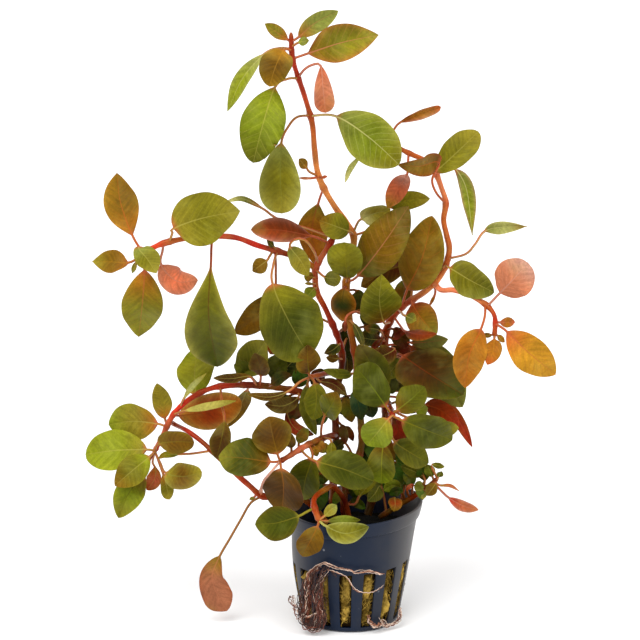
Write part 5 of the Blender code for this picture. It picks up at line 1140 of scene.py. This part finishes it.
# Right arm
# A salmon-orange side shoot of the right stem that hangs down at its end, with amber leaves of light veins.
arm_right = stem("arm_right", [(33.4, 140.5, 12), (36, 138.2, 9), (41, 138.2, 7), (47, 136.2, 5),
    (52, 133.4, 4), (55.5, 130.6, 3), (57.6, 126.5, 2), (57.5, 119, 2)], 0.95, 0.7,
    "apricot melon melon melon melon orange scarlet orange", right)
leaf("leaf_arm_right_pink", arm_right, [(54.6, 131.6, 3.4), (57.4, 134.8, 2)], [(59.6, 137.2, 1),
     (64.8, 142.8, -3), (70.4, 149.4, -3)], 16.2, "salmon salmon pink", roll=180, widest=0.55, base=0.5,
     tip=0.42, rib="pink", ribbed=0.7, veins=0.24, edge="salmon", under="coral", slot="leaf_amber")
leaf("leaf_arm_right_hanging", arm_right, [(53.6, 132.3, 3.6), (53.5, 127.5, 0)], [(52, 122, -2),
     (47.6, 111, -7), (46, 97.5, -7)], 12.8, "amber amber amber", fold=0.12, widest=0.42, base=0.55,
     tip=0.75, rib="orange", ribbed=0.7, veins=0.24, edge="gold", edged=0.4, slot="leaf_amber")
leaf("leaf_arm_right_small", arm_right, [(57.5, 119.2, 2)], [(57.4, 117.8, 0), (57, 113, -3),
     (54.8, 107.2, -4)], 6.8, "amber amber orange", widest=0.42, rib="gold")
leaf("leaf_arm_right_long", arm_right, [(57.8, 124.4, 2), (60.4, 122.6, 0)], [(62.4, 121, -1),
     (71.6, 111.8, -6), (82.2, 103, -6)], 14.2, "orange gold gold", base=0.75, rib="coral", ribbed=0.7,
     veins=0.24, edge="gold", cushion=0.36, slot="leaf_amber")
leaf("leaf_arm_right_dark", arm_right, [(57.7, 125, 2)], [(59.6, 124.8, 4), (65.6, 124.9, 7)], 4.2,
     "coral amber coral", rib="salmon")
leaf("leaf_arm_right_bit_a", arm_right, [(57.5, 120, 2)], [(56.4, 119.6, 4), (52.6, 119.4, 5)], 2,
     "amber bronze bronze")
leaf("leaf_arm_right_bit_b", arm_right, [(57.6, 120, 2)], [(58.6, 119.4, 4), (61.6, 116.6, 5)], 2.4,
     "amber gold amber")

# Lower left arm
# A red side shoot of the middle stem that droops to a tuft of yellow-green and olive leaves.
arm_low = stem("arm_lower_left", [(-6.2, 89, 11.5), (-14, 93.4, 9), (-24, 96.6, 5), (-37, 98.5, 0),
    (-50, 98.4, -4), (-57, 97, -5), (-63, 94, -6), (-68, 90.2, -7), (-72, 85.5, -8), (-76, 77.4, -9),
    (-79.3, 70.6, -10)], 1.15, 0.8, "wine umber rust brown wine scarlet red crimson coral scarlet", middle)
leaf("leaf_low_upright", arm_low, [(-74, 81.5, -8.6)], [(-75, 84.6, -5), (-75.8, 91, -1), (-78, 99.3, 1)],
     8, "amber khaki khaki", fold=0.12, widest=0.45, rib="olive", edged=0.4)
leaf("leaf_low_round", arm_low, [(-74.2, 81, -8.6)], [(-78, 82.3, -7), (-88, 83.2, -2), (-97.7, 82, 1)],
     15.5, "amber khaki fresh", widest=0.55, edge="fresh")
leaf("leaf_low_bright", arm_low, [(-79.3, 70.8, -10)], [(-82.5, 71.4, -10), (-95, 71.2, -6),
     (-107.3, 69.4, -2)], 16.3, "khaki fresh fresh", widest=0.55, tip=0.5, ribbed=0.6, veins=0.18,
     edge="lime", slot="leaf_bright")
leaf("leaf_low_brown", arm_low, [(-79.3, 70.6, -10)], [(-81.4, 68.4, -13), (-88, 62.8, -16),
     (-95.6, 56, -17)], 11.5, "fresh olive bronze", fold=0.12, slot="leaf_brown")
leaf("leaf_low_pointed", arm_low, [(-79.3, 70.6, -10), (-82, 65.6, -9)], [(-83.6, 60.4, -8),
     (-89.8, 53, -10), (-94.4, 42.2, -9)], 12, "brown grass olive", fold=0.15, rib="umber", edge="lime",
     edged=0.4)
leaf("leaf_low_grey", arm_low, [(-79.3, 70.8, -10)], [(-77.6, 73.8, -14), (-70.5, 74.6, -17),
     (-63.3, 74.4, -17)], 9.8, "bronze brown brown", base=0.5, tip=0.45, rib="khaki")
leaf("leaf_low_striped", arm_low, [(-79.3, 70.6, -10), (-77, 65.5, -12)], [(-75, 61.5, -14), (-68, 60, -16),
     (-60.3, 61.8, -15)], 10.8, "khaki brown khaki", fold=0.12, widest=0.42, base=0.6, tip=0.45, rib="sage",
     veins=0.21, edge="pale")
leaf("leaf_low_drop", arm_low, [(-79.2, 70.8, -10), (-77.4, 65.2, -7)], [(-76, 61, -6), (-74.8, 56, -5),
     (-73.6, 50.2, -5)], 5.2, "amber olive khaki", widest=0.65, tip=0.45)
leaf("leaf_low_red", arm_low, [(-79.3, 70.8, -10), (-80.2, 66, -4)], [(-79.3, 64, -3), (-79.6, 59, -3.5),
     (-82.8, 54.2, -4)], 6, "amber coral ember", roll=160, under="rust")
leaf("leaf_low_canoe", arm_low, [(-71.2, 86.6, -7.6)], [(-69.4, 85.8, -3), (-57, 87.4, 1), (-44, 91.6, 3)],
     14.5, "amber ember amber", roll=170, tip=0.45, rib="rust", edge="straw", edged=0.5, under="bronze",
     slot="leaf_amber")
leaf("leaf_low_edge", arm_low, [(-71.7, 86.2, -8)], [(-67, 87.8, -11), (-57, 89.8, -13), (-46.4, 92, -13)],
     3.2, "straw straw khaki")
leaf("leaf_low_spear", arm_low, [(-68.8, 89.9, -7)], [(-67.2, 93, -9), (-63.4, 98.6, -12),
     (-58.2, 103.4, -13)], 2.4, "straw pale khaki", rib="cream")
leaf("leaf_low_yellow", arm_low, [(-60.6, 95.4, -5.6)], [(-62.4, 94.6, -1), (-62.6, 104, 3),
     (-61.6, 114.6, 3)], 15.6, "fresh lime grass", fold=0.08, widest=0.45, base=0.6, tip=0.7, veins=0.24,
     edge="moss", edged=0.2, light=-0.25, slot="leaf_bright")
leaf("leaf_low_down", arm_low, [(-52.5, 98, -4.6), (-52, 91, -10)], [(-51, 84, -13), (-52.2, 76.5, -17),
     (-54.4, 67.5, -18)], 8.8, "brown umber umber", fold=0.12, widest=0.6, base=1, rib="olive")
leaf("leaf_low_olive", arm_low, [(-43, 98.8, -2)], [(-44.4, 101.6, 2), (-40, 108.6, 6), (-34.2, 117, 7)],
     13, "moss moss olive", light=0.1)
leaf("leaf_low_tip", arm_low, [(-36.6, 98.4, 0)], [(-36.2, 102.6, -5), (-37, 107, -7), (-38.6, 112, -6)], 8,
     "umber umber umber", rib="brown")
leaf("leaf_low_lying", arm_low, [(-38, 98.6, 0)], [(-40.8, 102.2, -7), (-48, 101.4, -10),
     (-55.2, 101.6, -11)], 4, "brown umber umber")
leaf("leaf_low_hidden", arm_low, [(-41, 98.8, -1)], [(-41.6, 96.6, 4), (-44.6, 89.6, 8), (-49.4, 81, 9)],
     6.4, "olive bronze bronze", widest=0.45)
leaf("leaf_low_shade", arm_low, [(-30, 97.8, 3), (-30, 100, 8)], [(-29, 102, 10), (-25, 107, 10),
     (-20.5, 110.8, 9)], 9, "shade shade shade")
leaf("leaf_low_under", arm_low, [(-22, 96, 6)], [(-21, 93.6, 4), (-27, 90, 1), (-34.6, 90.6, 0)], 6.4,
     "umber umber umber")
leaf("leaf_low_crescent", arm_low, [(-16, 94.2, 8), (-22, 92, 10)], [(-25.6, 87.6, 9), (-22.6, 80.6, 7),
     (-15, 77.6, 6)], 5, "wine red wine")

# Middle shoot
# A short side shoot in the shade behind the left shoot, with dull olive and dark red leaves.
inner = stem("shoot_middle", [(-4.4, 102.6, 13), (-8, 103.6, 7), (-12, 103, 1), (-16.5, 102, -4)], 0.9, 0.7,
    "wine rust ember orange", middle)
leaf("leaf_inner_upright", inner, [(-16.6, 102, -4)], [(-16.8, 103.8, -8), (-17.2, 109, -11),
     (-17.4, 115.4, -11)], 9.6, "umber brown umber", fold=0.12, rib="olive")
leaf("leaf_inner_edge", inner, [(-16.5, 102, -4), (-20.5, 100, -10)], [(-25.5, 95.8, -13), (-33, 93.6, -15),
     (-41.6, 94.8, -16)], 3.4, "umber umber brown")
leaf("leaf_inner_grey", inner, [(-16, 102, -4)], [(-14.6, 99.6, -6), (-14, 92, -8), (-15.4, 84, -8)], 9.8,
     "olive moss moss", rib="khaki")
leaf("leaf_inner_green", inner, [(-16.6, 102, -4)], [(-17.4, 99, -1), (-17.6, 88, 1), (-14, 77.6, 2)], 6,
     "moss moss moss", rib="grass")
leaf("leaf_inner_dark", inner, [(-14.5, 102.4, -1)], [(-12.6, 100.4, 1), (-7, 99, 1), (-1.6, 94.4, 0)], 4.6,
     "wine wine umber")

# Left shoot
# A side shoot that ends above the rim in a rosette of dark green and brown leaves about a red joint.
shoot_left = stem("shoot_left", [(-6, 77.4, 10), (-9, 77, 4), (-12, 75.8, -2), (-16, 74.2, -8),
    (-20.5, 71.5, -14), (-25, 68.6, -19), (-28.5, 66.4, -23)], 1.1, 0.85,
    "wine ember rust ember amber melon coral rust", middle)
leaf("leaf_left_dark", shoot_left, [(-28.5, 66.4, -23)], [(-32.4, 66.2, -24), (-43, 68, -25),
     (-53.4, 68.6, -23)], 15.6, "brown deep olive", rib="amber", ribbed=0.4, veins=0.18, edge="moss")
leaf("leaf_left_up", shoot_left, [(-28.5, 66.8, -23)], [(-29.6, 69.4, -24), (-31.6, 77, -21),
     (-33, 85.4, -16)], 16, "brown umber brown", rib="bronze", veins=0.18, slot="leaf_brown")
leaf("leaf_left_down", shoot_left, [(-28.5, 66.3, -23)], [(-28.2, 63.4, -26.5), (-27.4, 55, -24),
     (-28, 44.6, -19)], 17.5, "brown umber brown", fold=0.08, widest=0.52, rib="amber", ribbed=0.6,
     edge="umber", slot="leaf_brown")
leaf("leaf_left_stalk", shoot_left, [(-28.5, 66.4, -23), (-31.8, 62.4, -27), (-35, 58.4, -27)],
     [(-36.2, 55.4, -26), (-36.4, 52, -26)], 1.6, "pink pink coral", ribbed=0, stem_tone="pink")
leaf("leaf_left_back", shoot_left, [(-17, 73.6, -9.5), (-15.8, 70.6, -12)], [(-15.6, 67.6, -13),
     (-18.4, 59, -13), (-19.8, 50, -9)], 13, "moss deep moss", rib="olive", ribbed=0.7, edge="olive",
     edged=0.4)
leaf("leaf_left_great", shoot_left, [(-20.3, 71.4, -14), (-17.4, 68.4, -20)], [(-13.8, 66.4, -22),
     (-2, 63, -24), (9.2, 58, -23)], 15, "moss deep deep", fold=0.08, tip=0.5, rib="khaki", ribbed=0.6,
     veins=0.12, edge="olive", slot="leaf_brown")
leaf("leaf_left_ear", shoot_left, [(-11, 76.2, -1), (-9, 76, -6)], [(-7.8, 74.6, -9), (-8, 67.6, -11)], 3.8,
     "olive olive moss")
leaf("leaf_left_tall", shoot_left, [(-12, 75.8, -2), (-11.8, 81, -8)], [(-10.4, 86, -13), (-8, 90.4, -16),
     (-5.6, 95.6, -16)], 10.6, "deep moss brown", fold=0.12, rib="olive")

# Front shoot
# A side shoot that points forwards, with a rosette of glossy green leaves about a reddish joint.
front = stem("shoot_front", [(14, 90.6, 16), (14.6, 91, 9), (15.4, 90, 0), (16, 88.2, -8),
    (16.5, 86.6, -16), (16.8, 85.8, -20)], 1.1, 0.9, "wine wine ember red", right)
leaf("leaf_front_up", front, [(16, 87, -18)], [(14.2, 89.6, -18), (8, 98.2, -16), (2, 106, -9)], 15.4,
     "deep deep moss", widest=0.52, rib="grass", ribbed=0.6, veins=0.12, edge="moss", light=0.05,
     slot="leaf_bright")
leaf("leaf_front_right_up", front, [(17.2, 86.6, -18)], [(18.6, 88, -19), (24, 92.7, -18), (29.6, 98, -13)],
     11.5, "brown moss moss", fold=0.12, widest=0.48, rib="grass", ribbed=0.6, edge="olive",
     slot="leaf_bright")
leaf("leaf_front_right", front, [(17, 85.8, -20)], [(20.6, 83.8, -21), (30, 79.6, -20), (41, 75.4, -14)],
     14.8, "moss deep moss", fold=0.08, rib="olive", ribbed=0.7, edge="olive", edged=0.4)
leaf("leaf_front_left_down", front, [(16.2, 85.6, -20)], [(15.2, 84.4, -22), (11.4, 79.2, -23),
     (6.6, 73.2, -20)], 12.6, "khaki grass grass", fold=0.12, widest=0.48, edge="sage", slot="leaf_bright")
leaf("leaf_front_down", front, [(16.2, 86.4, -17), (14.8, 80, -15)], [(13.2, 74, -15), (12.4, 65, -17),
     (12.6, 57, -14)], 11.4, "brown moss grass", widest=0.55, tip=0.5, rib="lime", ribbed=0.6)
leaf("leaf_front_low_right", front, [(16.4, 87, -14), (16.2, 80, -8)], [(17.6, 75, -8), (24, 70.4, -9),
     (31.6, 65.8, -6)], 11, "deep moss moss", rib="khaki", ribbed=0.6)
leaf("leaf_front_back_right", front, [(16, 88.4, -8), (26, 83.4, -5)], [(33, 80.4, -4), (38, 80, -4),
     (43.6, 80.6, -1)], 6.4, "moss moss khaki", rib="khaki", edge="sage")
leaf("leaf_front_ear", front, [(16.2, 87.8, -11), (22, 87.8, -10)], [(26, 87.8, -9), (31, 89, -8)], 6,
     "grass grass sage", edge="sage")
leaf("leaf_front_back_up", front, [(14.9, 90.8, 5)], [(12.6, 96, 1), (8, 107, -2), (3, 115.6, -2)], 13,
     "moss deep umber", rib="olive")

# Low left stem
# A thin red and amber stem that leaves over the rim and climbs left. A long leaf, brown as clay, hangs
# twisted from its bend.
low_left = stem("stem_low_left", [(-10, 40, -3), (-16, 48, -5), (-23, 52, -7), (-30, 51.4, -9),
    (-36, 51.6, -11), (-41, 56, -12), (-46, 60.6, -13), (-51, 65.6, -13), (-56, 70.6, -12),
    (-60, 74.6, -11), (-66, 79.3, -9), (-71, 82, -3), (-73.8, 83.9, -7.6)], 1.2, 0.7,
    "amber ember brown ember scarlet amber rust scarlet red rust")
leaf("leaf_low_left_linked", low_left, [(-56.4, 70.8, -12), (-64, 69.7, -12)], [(-69.6, 69.4, -13),
     (-75, 69.2, -14), (-77.8, 67.6, -14)], 2.8, "moss olive bronze")
leaf("leaf_low_left_twisted", low_left, [(-36, 51.2, -11), (-40.6, 48.6, -12), (-44.6, 41.6, -13),
     (-49, 33.6, -13)], [(-53.4, 25.6, -12), (-56.6, 17, -11), (-54.6, 9, -10), (-50.6, 1.9, -9)], 12,
     "bronze clay clay", roll=10, fold=0.15, widest=0.72, rib="salmon", veins=0.18, edge="rust", edged=0.4,
     stem_tone="bronze", slot="leaf_amber")
leaf("leaf_low_left_bud", low_left, [(-38, 53, -11.4)], [(-39, 51.2, -9), (-41, 50, -8)], 1.6,
     "khaki khaki khaki", ribbed=0)

# Front stem
# A stem that hooks over the front of the rim, dark at first and then orange, with green, brown and pale-
# edged leaves against the pot.
hook = stem("stem_front", [(0, 40, -5), (-2.6, 50, -8), (-7, 55.6, -13), (-10, 54.6, -18), (-14, 51.6, -23),
    (-15, 49, -26), (-14.4, 45.6, -28.8), (-12.6, 40.8, -30.6)], 1.0, 0.9,
    "brown rust wine rust ember amber ember ember orange")
leaf("leaf_hook_left", hook, [(-14.7, 46.6, -28.4), (-18, 44.7, -30)], [(-21, 43, -31), (-30, 39.9, -33),
     (-38.8, 39.4, -32)], 13.5, "deep deep moss", widest=0.52, rib="khaki", edge="bronze",
     stem_tone="khaki")
leaf("leaf_hook_down", hook, [(-12.8, 41, -30.6)], [(-13.4, 38.6, -31.4), (-16, 32.6, -31.6),
     (-19.6, 25.6, -29)], 10.5, "bronze brown brown", fold=0.12, rib="amber", ribbed=0.6, edge="bronze")
leaf("leaf_hook_right", hook, [(-12.6, 40.8, -30.6)], [(-9.8, 38.6, -33), (-2, 35.6, -35),
     (7.4, 38.3, -35)], 8.6, "olive olive moss", fold=0.15, widest=0.45, rib="pale", edge="pale", edged=0.7,
     stem_tone="straw")
leaf("leaf_hook_right_upper", hook, [(-12.6, 41.4, -30.4)], [(-9.4, 40.8, -31), (-3, 41.4, -32),
     (3.9, 41.2, -32)], 3.6, "moss grass moss", rib="sage")
leaf("leaf_hook_pale", hook, [(-12.8, 41.4, -30.4), (-11.6, 42.2, -31)], [(-10.6, 43, -31), (-8, 45.6, -31),
     (-5.6, 47.6, -30)], 4.4, "khaki khaki sage", widest=0.6, edge="straw")

# Rim shoot
# A short brown and rust shoot along the right rim, with small dark leaves and narrow red and pink-edged
# ones.
rim = stem("shoot_rim", [(12, 42.5, 2), (20, 48, 0), (25, 51, -2), (29, 54, -4), (33, 56.8, -5),
    (35.4, 59.4, -5)], 0.9, 0.6, "umber brown brown bronze rust ember brown rust")
leaf("leaf_rim_pink", rim, [(33.6, 57.2, -5), (37, 53.6, -6)], [(40, 50.8, -7), (45.6, 47.4, -9),
     (52, 45.6, -9)], 4.6, "scarlet coral coral", fold=0.15, rib="pink", edge="pink", edged=0.7)
leaf("leaf_rim_narrow", rim, [(34, 57.6, -5)], [(36.2, 56.2, -3), (40.4, 56, -1), (44, 53.9, 0)], 1.4,
     "amber coral salmon")
leaf("leaf_rim_top", rim, [(35.2, 59.2, -5), (33.4, 63, -5)], [(33, 65, -5), (38, 64, -5)], 2.6,
     "olive moss olive")
leaf("leaf_rim_brown", rim, [(33.4, 57, -5)], [(34.6, 57, -8), (31, 51.8, -9)], 5, "bronze brown brown")
leaf("leaf_rim_grey", rim, [(29.6, 54.4, -4)], [(29.6, 53.8, -7), (29.4, 50.2, -9)], 3, "grey grey khaki")
leaf("leaf_rim_green", rim, [(34, 57.8, -5)], [(33.2, 59.8, -3), (31, 65, -2)], 4.4, "moss grass moss")
leaf("leaf_rim_dark", rim, [(35, 59, -5)], [(35.6, 59.8, -7), (37, 62, -8)], 2.6, "deep moss deep")
leaf("leaf_rim_inner", rim, [(29, 54, -4), (30, 57, 0)], [(29.6, 60, 2), (25, 62.4, 3), (20.4, 64.4, 4)],
     5.2, "deep moss deep")
leaf("leaf_rim_amber", rim, [(18.6, 47, 0.4)], [(18, 50.6, -6), (18.2, 47.8, -10), (17.6, 45, -11)], 5.6,
     "brown rust bronze")
leaf("leaf_rim_mouth", rim, [(14.6, 44.6, 1.4)], [(12.4, 55.6, 0), (10, 52.6, -5), (7, 49.4, -8)], 6.4,
     "deep moss deep")
leaf("leaf_rim_mouth_green", rim, [(22, 49.4, -1)], [(20, 54.4, 2), (17, 56, 0), (13.4, 54, -1)], 5.4,
     "moss grass grass")

# Small inner leaves
# Dozens of short dark leaves fill the gaps between the stems and the mouth of the pot. They grow from the
# stems above in ones and twos, on thin stalks. Most are coloured near-black green or wine-red as painted
# shade for the dark inside of the plant, and several of the wider ones, set far back, are dark sheets put
# where there is only shade.
INNER_SAG = (0.0, 1.0, -1.0)
INNER_LEAVES = (
    (arm_low, (-30, 97.8, 3), (-31, 101, 8), (-28, 112, 10), 9, "shade deep shade"),
    (arm_low, (-24, 96.6, 5), (-22, 98, 9), (-17, 106, 12), 8, "shade fern shade"),
    (arm_low, (-37, 98.5, 0), (-40, 102, 4), (-47, 107, 5), 7, "moss deep moss"),
    (arm_low, (-33, 98, 1), (-32, 99, -3), (-24, 103, -4), 5, "umber shade umber"),
    (arm_low, (-20, 95.4, 6), (-25, 94, 6), (-30, 88, 6), 6, "shade umber shade"),
    (arm_low, (-14, 93.4, 9), (-19, 90, 8), (-24, 84, 8), 6, "shade wine shade"),
    (middle, (-6, 98, 12), (-8, 98, 4), (-2, 96, 2), 4, "wine red wine"),
    (middle, (-6.2, 92, 11.5), (-3, 93, 4), (0.5, 83, 4), 6, "brown moss brown"),
    (middle, (-6.1, 88, 11), (-9, 88, 10), (-14, 82, 10), 6, "shade fern shade"),
    (middle, (-6, 104, 13), (-10, 104, 12), (-16, 99, 12), 6, "shade wine shade"),
    (middle, (-5, 120, 14), (-3, 122, 20), (-1.5, 110, 22), 8, "shade shade shade"),
    (middle, (-6.2, 84, 11), (-4, 82, 9), (-2, 74, 8), 4, "wine umber wine"),
    (middle, (-6.5, 80, 10), (-2, 81, 10), (1, 75, 10), 3, "wine rust wine"),
    (tall, (2.5, 99, 8), (1.5, 96, 4), (4.5, 84, 2), 7, "teal teal shade"),
    (tall, (3, 92, 8), (6, 93, 8), (9, 85, 6), 7, "teal shade teal"),
    (tall, (3.2, 94, 8), (-1, 94, 12), (-3, 86, 14), 7, "shade deep shade"),
    (tall, (4.5, 77, 6), (6, 75, 8), (11, 67, 8), 7, "shade fern shade"),
    (tall, (4.2, 80, 6), (7, 82, 12), (12, 76, 14), 8, "shade shade shade"),
    (tall, (3.5, 69, 5), (5, 71, 9), (4, 60, 9), 7, "shade fern shade"),
    (tall, (2, 66, 4), (-2, 74, 8), (-8, 70, 10), 5, "umber shade umber"),
    (tall, (1, 113, 9), (5, 114, 12), (9, 106, 14), 9, "shade shade shade"),
    (tall, (0, 121, 9), (5, 123, 12), (10, 116, 14), 8, "shade umber shade"),
    (tall, (-1, 128, 10), (4, 130, 14), (9, 124, 16), 8, "shade shade umber"),
    (tall, (-2, 138, 10), (2, 138, 14), (4, 128, 16), 8, "deep shade deep"),
    (right, (14, 100, 17), (15, 109, 15), (20, 96, 14), 10, "shade umber shade"),
    (right, (14, 104, 17), (12, 104, 13), (17, 95, 13), 8, "shade shade deep"),
    (right, (13.8, 112, 18), (16, 114, 22), (24, 108, 24), 10, "shade wine shade"),
    (right, (14, 92, 16), (17, 85, 10), (20.5, 74, 8), 8, "wine red wine"),
    (right, (14, 88, 15), (15, 77, 8), (17, 65, 8), 4, "rust brown umber"),
    (right, (14, 90, 16), (20, 92, 18), (28, 88, 20), 9, "shade deep shade"),
    (right, (14, 84, 15), (22, 82, 16), (27, 74, 16), 9, "shade fern shade"),
    (right, (14.6, 122, 18), (17, 122, 13), (22, 114, 14), 7, "wine umber wine"),
    (right, (14, 121, 18), (10, 121, 14), (5, 116, 14), 7, "umber shade wine"),
    (right, (14, 120, 18), (17, 118, 12), (23, 121, 9), 3, "red wine red"),
    (right, (14, 119, 18), (12, 117, 11), (8, 112, 8), 3, "rust wine red"),
    (right, (20, 131, 16), (21, 133, 20), (20, 142, 22), 7, "moss brown moss"),
    (right, (12, 63, 11), (18, 66, 12), (26, 61, 12), 7, "fern fern shade"),
    (right, (12, 60, 11), (19, 61, 15), (26, 57, 15), 7, "shade fern shade"),
    (right, (11, 60, 10), (13, 62, 8), (17, 52, 6), 6, "fern shade fern"),
    (right, (12, 63, 11), (16, 65, 8), (21, 56, 6), 6, "shade fern deep"),
    (right, (10, 55, 9), (10, 62, 6), (14, 53, 3), 7, "fern fern fern"),
    (right, (9, 52, 8), (7, 58, 5), (9, 50, 2), 6, "fern deep shade"),
    (right, (9, 50, 8), (14, 55, 16), (25, 59, 18), 9, "shade deep shade"),
    (right, (12, 66, 12), (16, 70, 13), (24, 68, 14), 8, "shade fern shade"),
    (shoot_left, (-12, 75.8, -2), (-14, 74, -5), (-10.5, 70, -6), 4, "bronze amber olive"),
    (shoot_left, (-10, 76, -1), (-11.5, 74, -4), (-8.5, 69, -5), 3, "olive bronze olive"),
    (shoot_left, (-14, 75, -5), (-15.5, 72.5, -9), (-13.5, 68.5, -9), 3, "amber gold olive"),
    (shoot_left, (-21, 71, -14), (-21, 74, -12), (-17, 80, -10), 5, "moss brown moss"),
    (shoot_left, (-24, 69, -18), (-24, 72, -16), (-26, 78, -14), 5, "umber brown moss"),
    (middle, (-7, 64, 8), (-9, 66, 5), (-15, 55, 2), 8, "shade deep shade"),
    (middle, (-7, 60, 7), (-13, 61, 0), (-15, 51, -4), 7, "fern shade umber"),
    (middle, (-7, 56, 6), (-11, 56, -4), (-13, 45, -10), 6, "fern fern shade"),
    (middle, (-7, 50, 5), (-3, 56, 14), (7, 59, 16), 9, "shade deep shade"),
    (middle, (-7, 58, 7), (-10, 60, 12), (-18, 58, 14), 9, "shade shade deep"),
    (tall, (-2.5, 52, 0), (-3, 53, -5), (-7, 48, -8), 4, "fern moss fern"),
    (tall, (-2, 56, 0), (1, 58, -3), (4, 51, -5), 4, "moss grass moss"),
    (tall, (-2.5, 50, 0), (-1, 53, 4), (5, 52, 6), 6, "shade fern shade"),
    (tall, (-2.5, 46, 0), (0, 49, -3), (6, 46, -6), 4, "shade deep fern"),
    (rim, (25, 51, -2), (25, 56, 4), (22, 62, 6), 5, "fern moss fern"),
    (rim, (28, 53, -3), (30, 58, 2), (28, 65, 4), 5, "moss fern moss"),
    (rim, (20, 48, 0), (22, 56, 8), (19, 61, 10), 6, "fern fern shade"),
    (rim, (31, 55.5, -4), (29, 57, -5), (27, 53, -7), 4, "sage moss sage"),
    (rim, (27, 52.5, -3), (27, 54, -6), (29.5, 50, -8), 3, "sage fern moss"),
    (rim, (22, 49.5, -1), (21, 53, -3), (16, 52, -4), 4, "fern shade fern"),
    (rim, (24, 50.4, -2), (23, 54, -4), (26, 56, -4), 2, "red coral red"),
)
for number, (grown_from, root_at, waist, tip, width, tones) in enumerate(INNER_LEAVES):
    middle_way = [(waist[k] + tip[k]) / 2 + INNER_SAG[k] for k in range(3)]
    leaf("inner_" + str(number), grown_from, [root_at], [waist, middle_way, tip], width, tones, fold=0.15,
         widest=0.48, rib="moss", ribbed=0.4, veins=0.12, edge="moss", edged=0.2, stem_tone="rust")

for made in (tall, middle, arm_left, right, arm_right, arm_low, inner, shoot_left, front, low_left, hook,
             rim):
    finish_stem(made)

# Floor, light and camera
# A flat white card under soft light from all round, the front left and the right.
floor_mesh = bpy.data.meshes.new("floor_card")
floor_mesh.from_pydata([(-6, -6, 0), (6, -6, 0), (6, 6, 0), (-6, 6, 0)], [], [(0, 1, 2, 3)])
floor = bpy.data.objects.new("floor_card", floor_mesh)
card, _, card_shader = new_material("white_card")
card_shader.inputs["Base Color"].default_value = (0.96, 0.96, 0.96, 1.0)
card_shader.inputs["Roughness"].default_value = 0.9
floor_mesh.materials.append(card)
bpy.context.scene.collection.objects.link(floor)
floor.location.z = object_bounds()[0][2] - 0.0002

world = bpy.data.worlds.new("studio")
world.use_nodes = True
world.node_tree.nodes["Background"].inputs["Color"].default_value = (1.0, 1.0, 1.0, 1.0)
world.node_tree.nodes["Background"].inputs["Strength"].default_value = 0.85
bpy.context.scene.world = world


def soft_sun(name, azimuth, height, spread_deg, strength):
    """A far, wide soft light from a compass direction (0 is the camera's side, 90 the right) and a
    height."""
    light = bpy.data.lights.new(name, "SUN")
    light.angle = math.radians(spread_deg)
    light.energy = strength
    lamp = bpy.data.objects.new(name, light)
    lamp.rotation_euler = (math.radians(90 - height), 0, math.radians(azimuth))
    bpy.context.scene.collection.objects.link(lamp)


soft_sun("key", -32, 52, 40, 1.9)
soft_sun("fill", 55, 40, 40, 0.8)

camera = bpy.data.objects.new("camera", bpy.data.cameras.new("camera"))
camera.data.sensor_width = 36
camera.data.lens = 175.8
camera.location = (-0.0124, -1.20454, 0.45985)
camera.rotation_euler = (math.radians(90 - 15.5), 0, 0)
bpy.context.scene.collection.objects.link(camera)
bpy.context.scene.camera = camera
bpy.context.scene.view_settings.view_transform = "Standard"
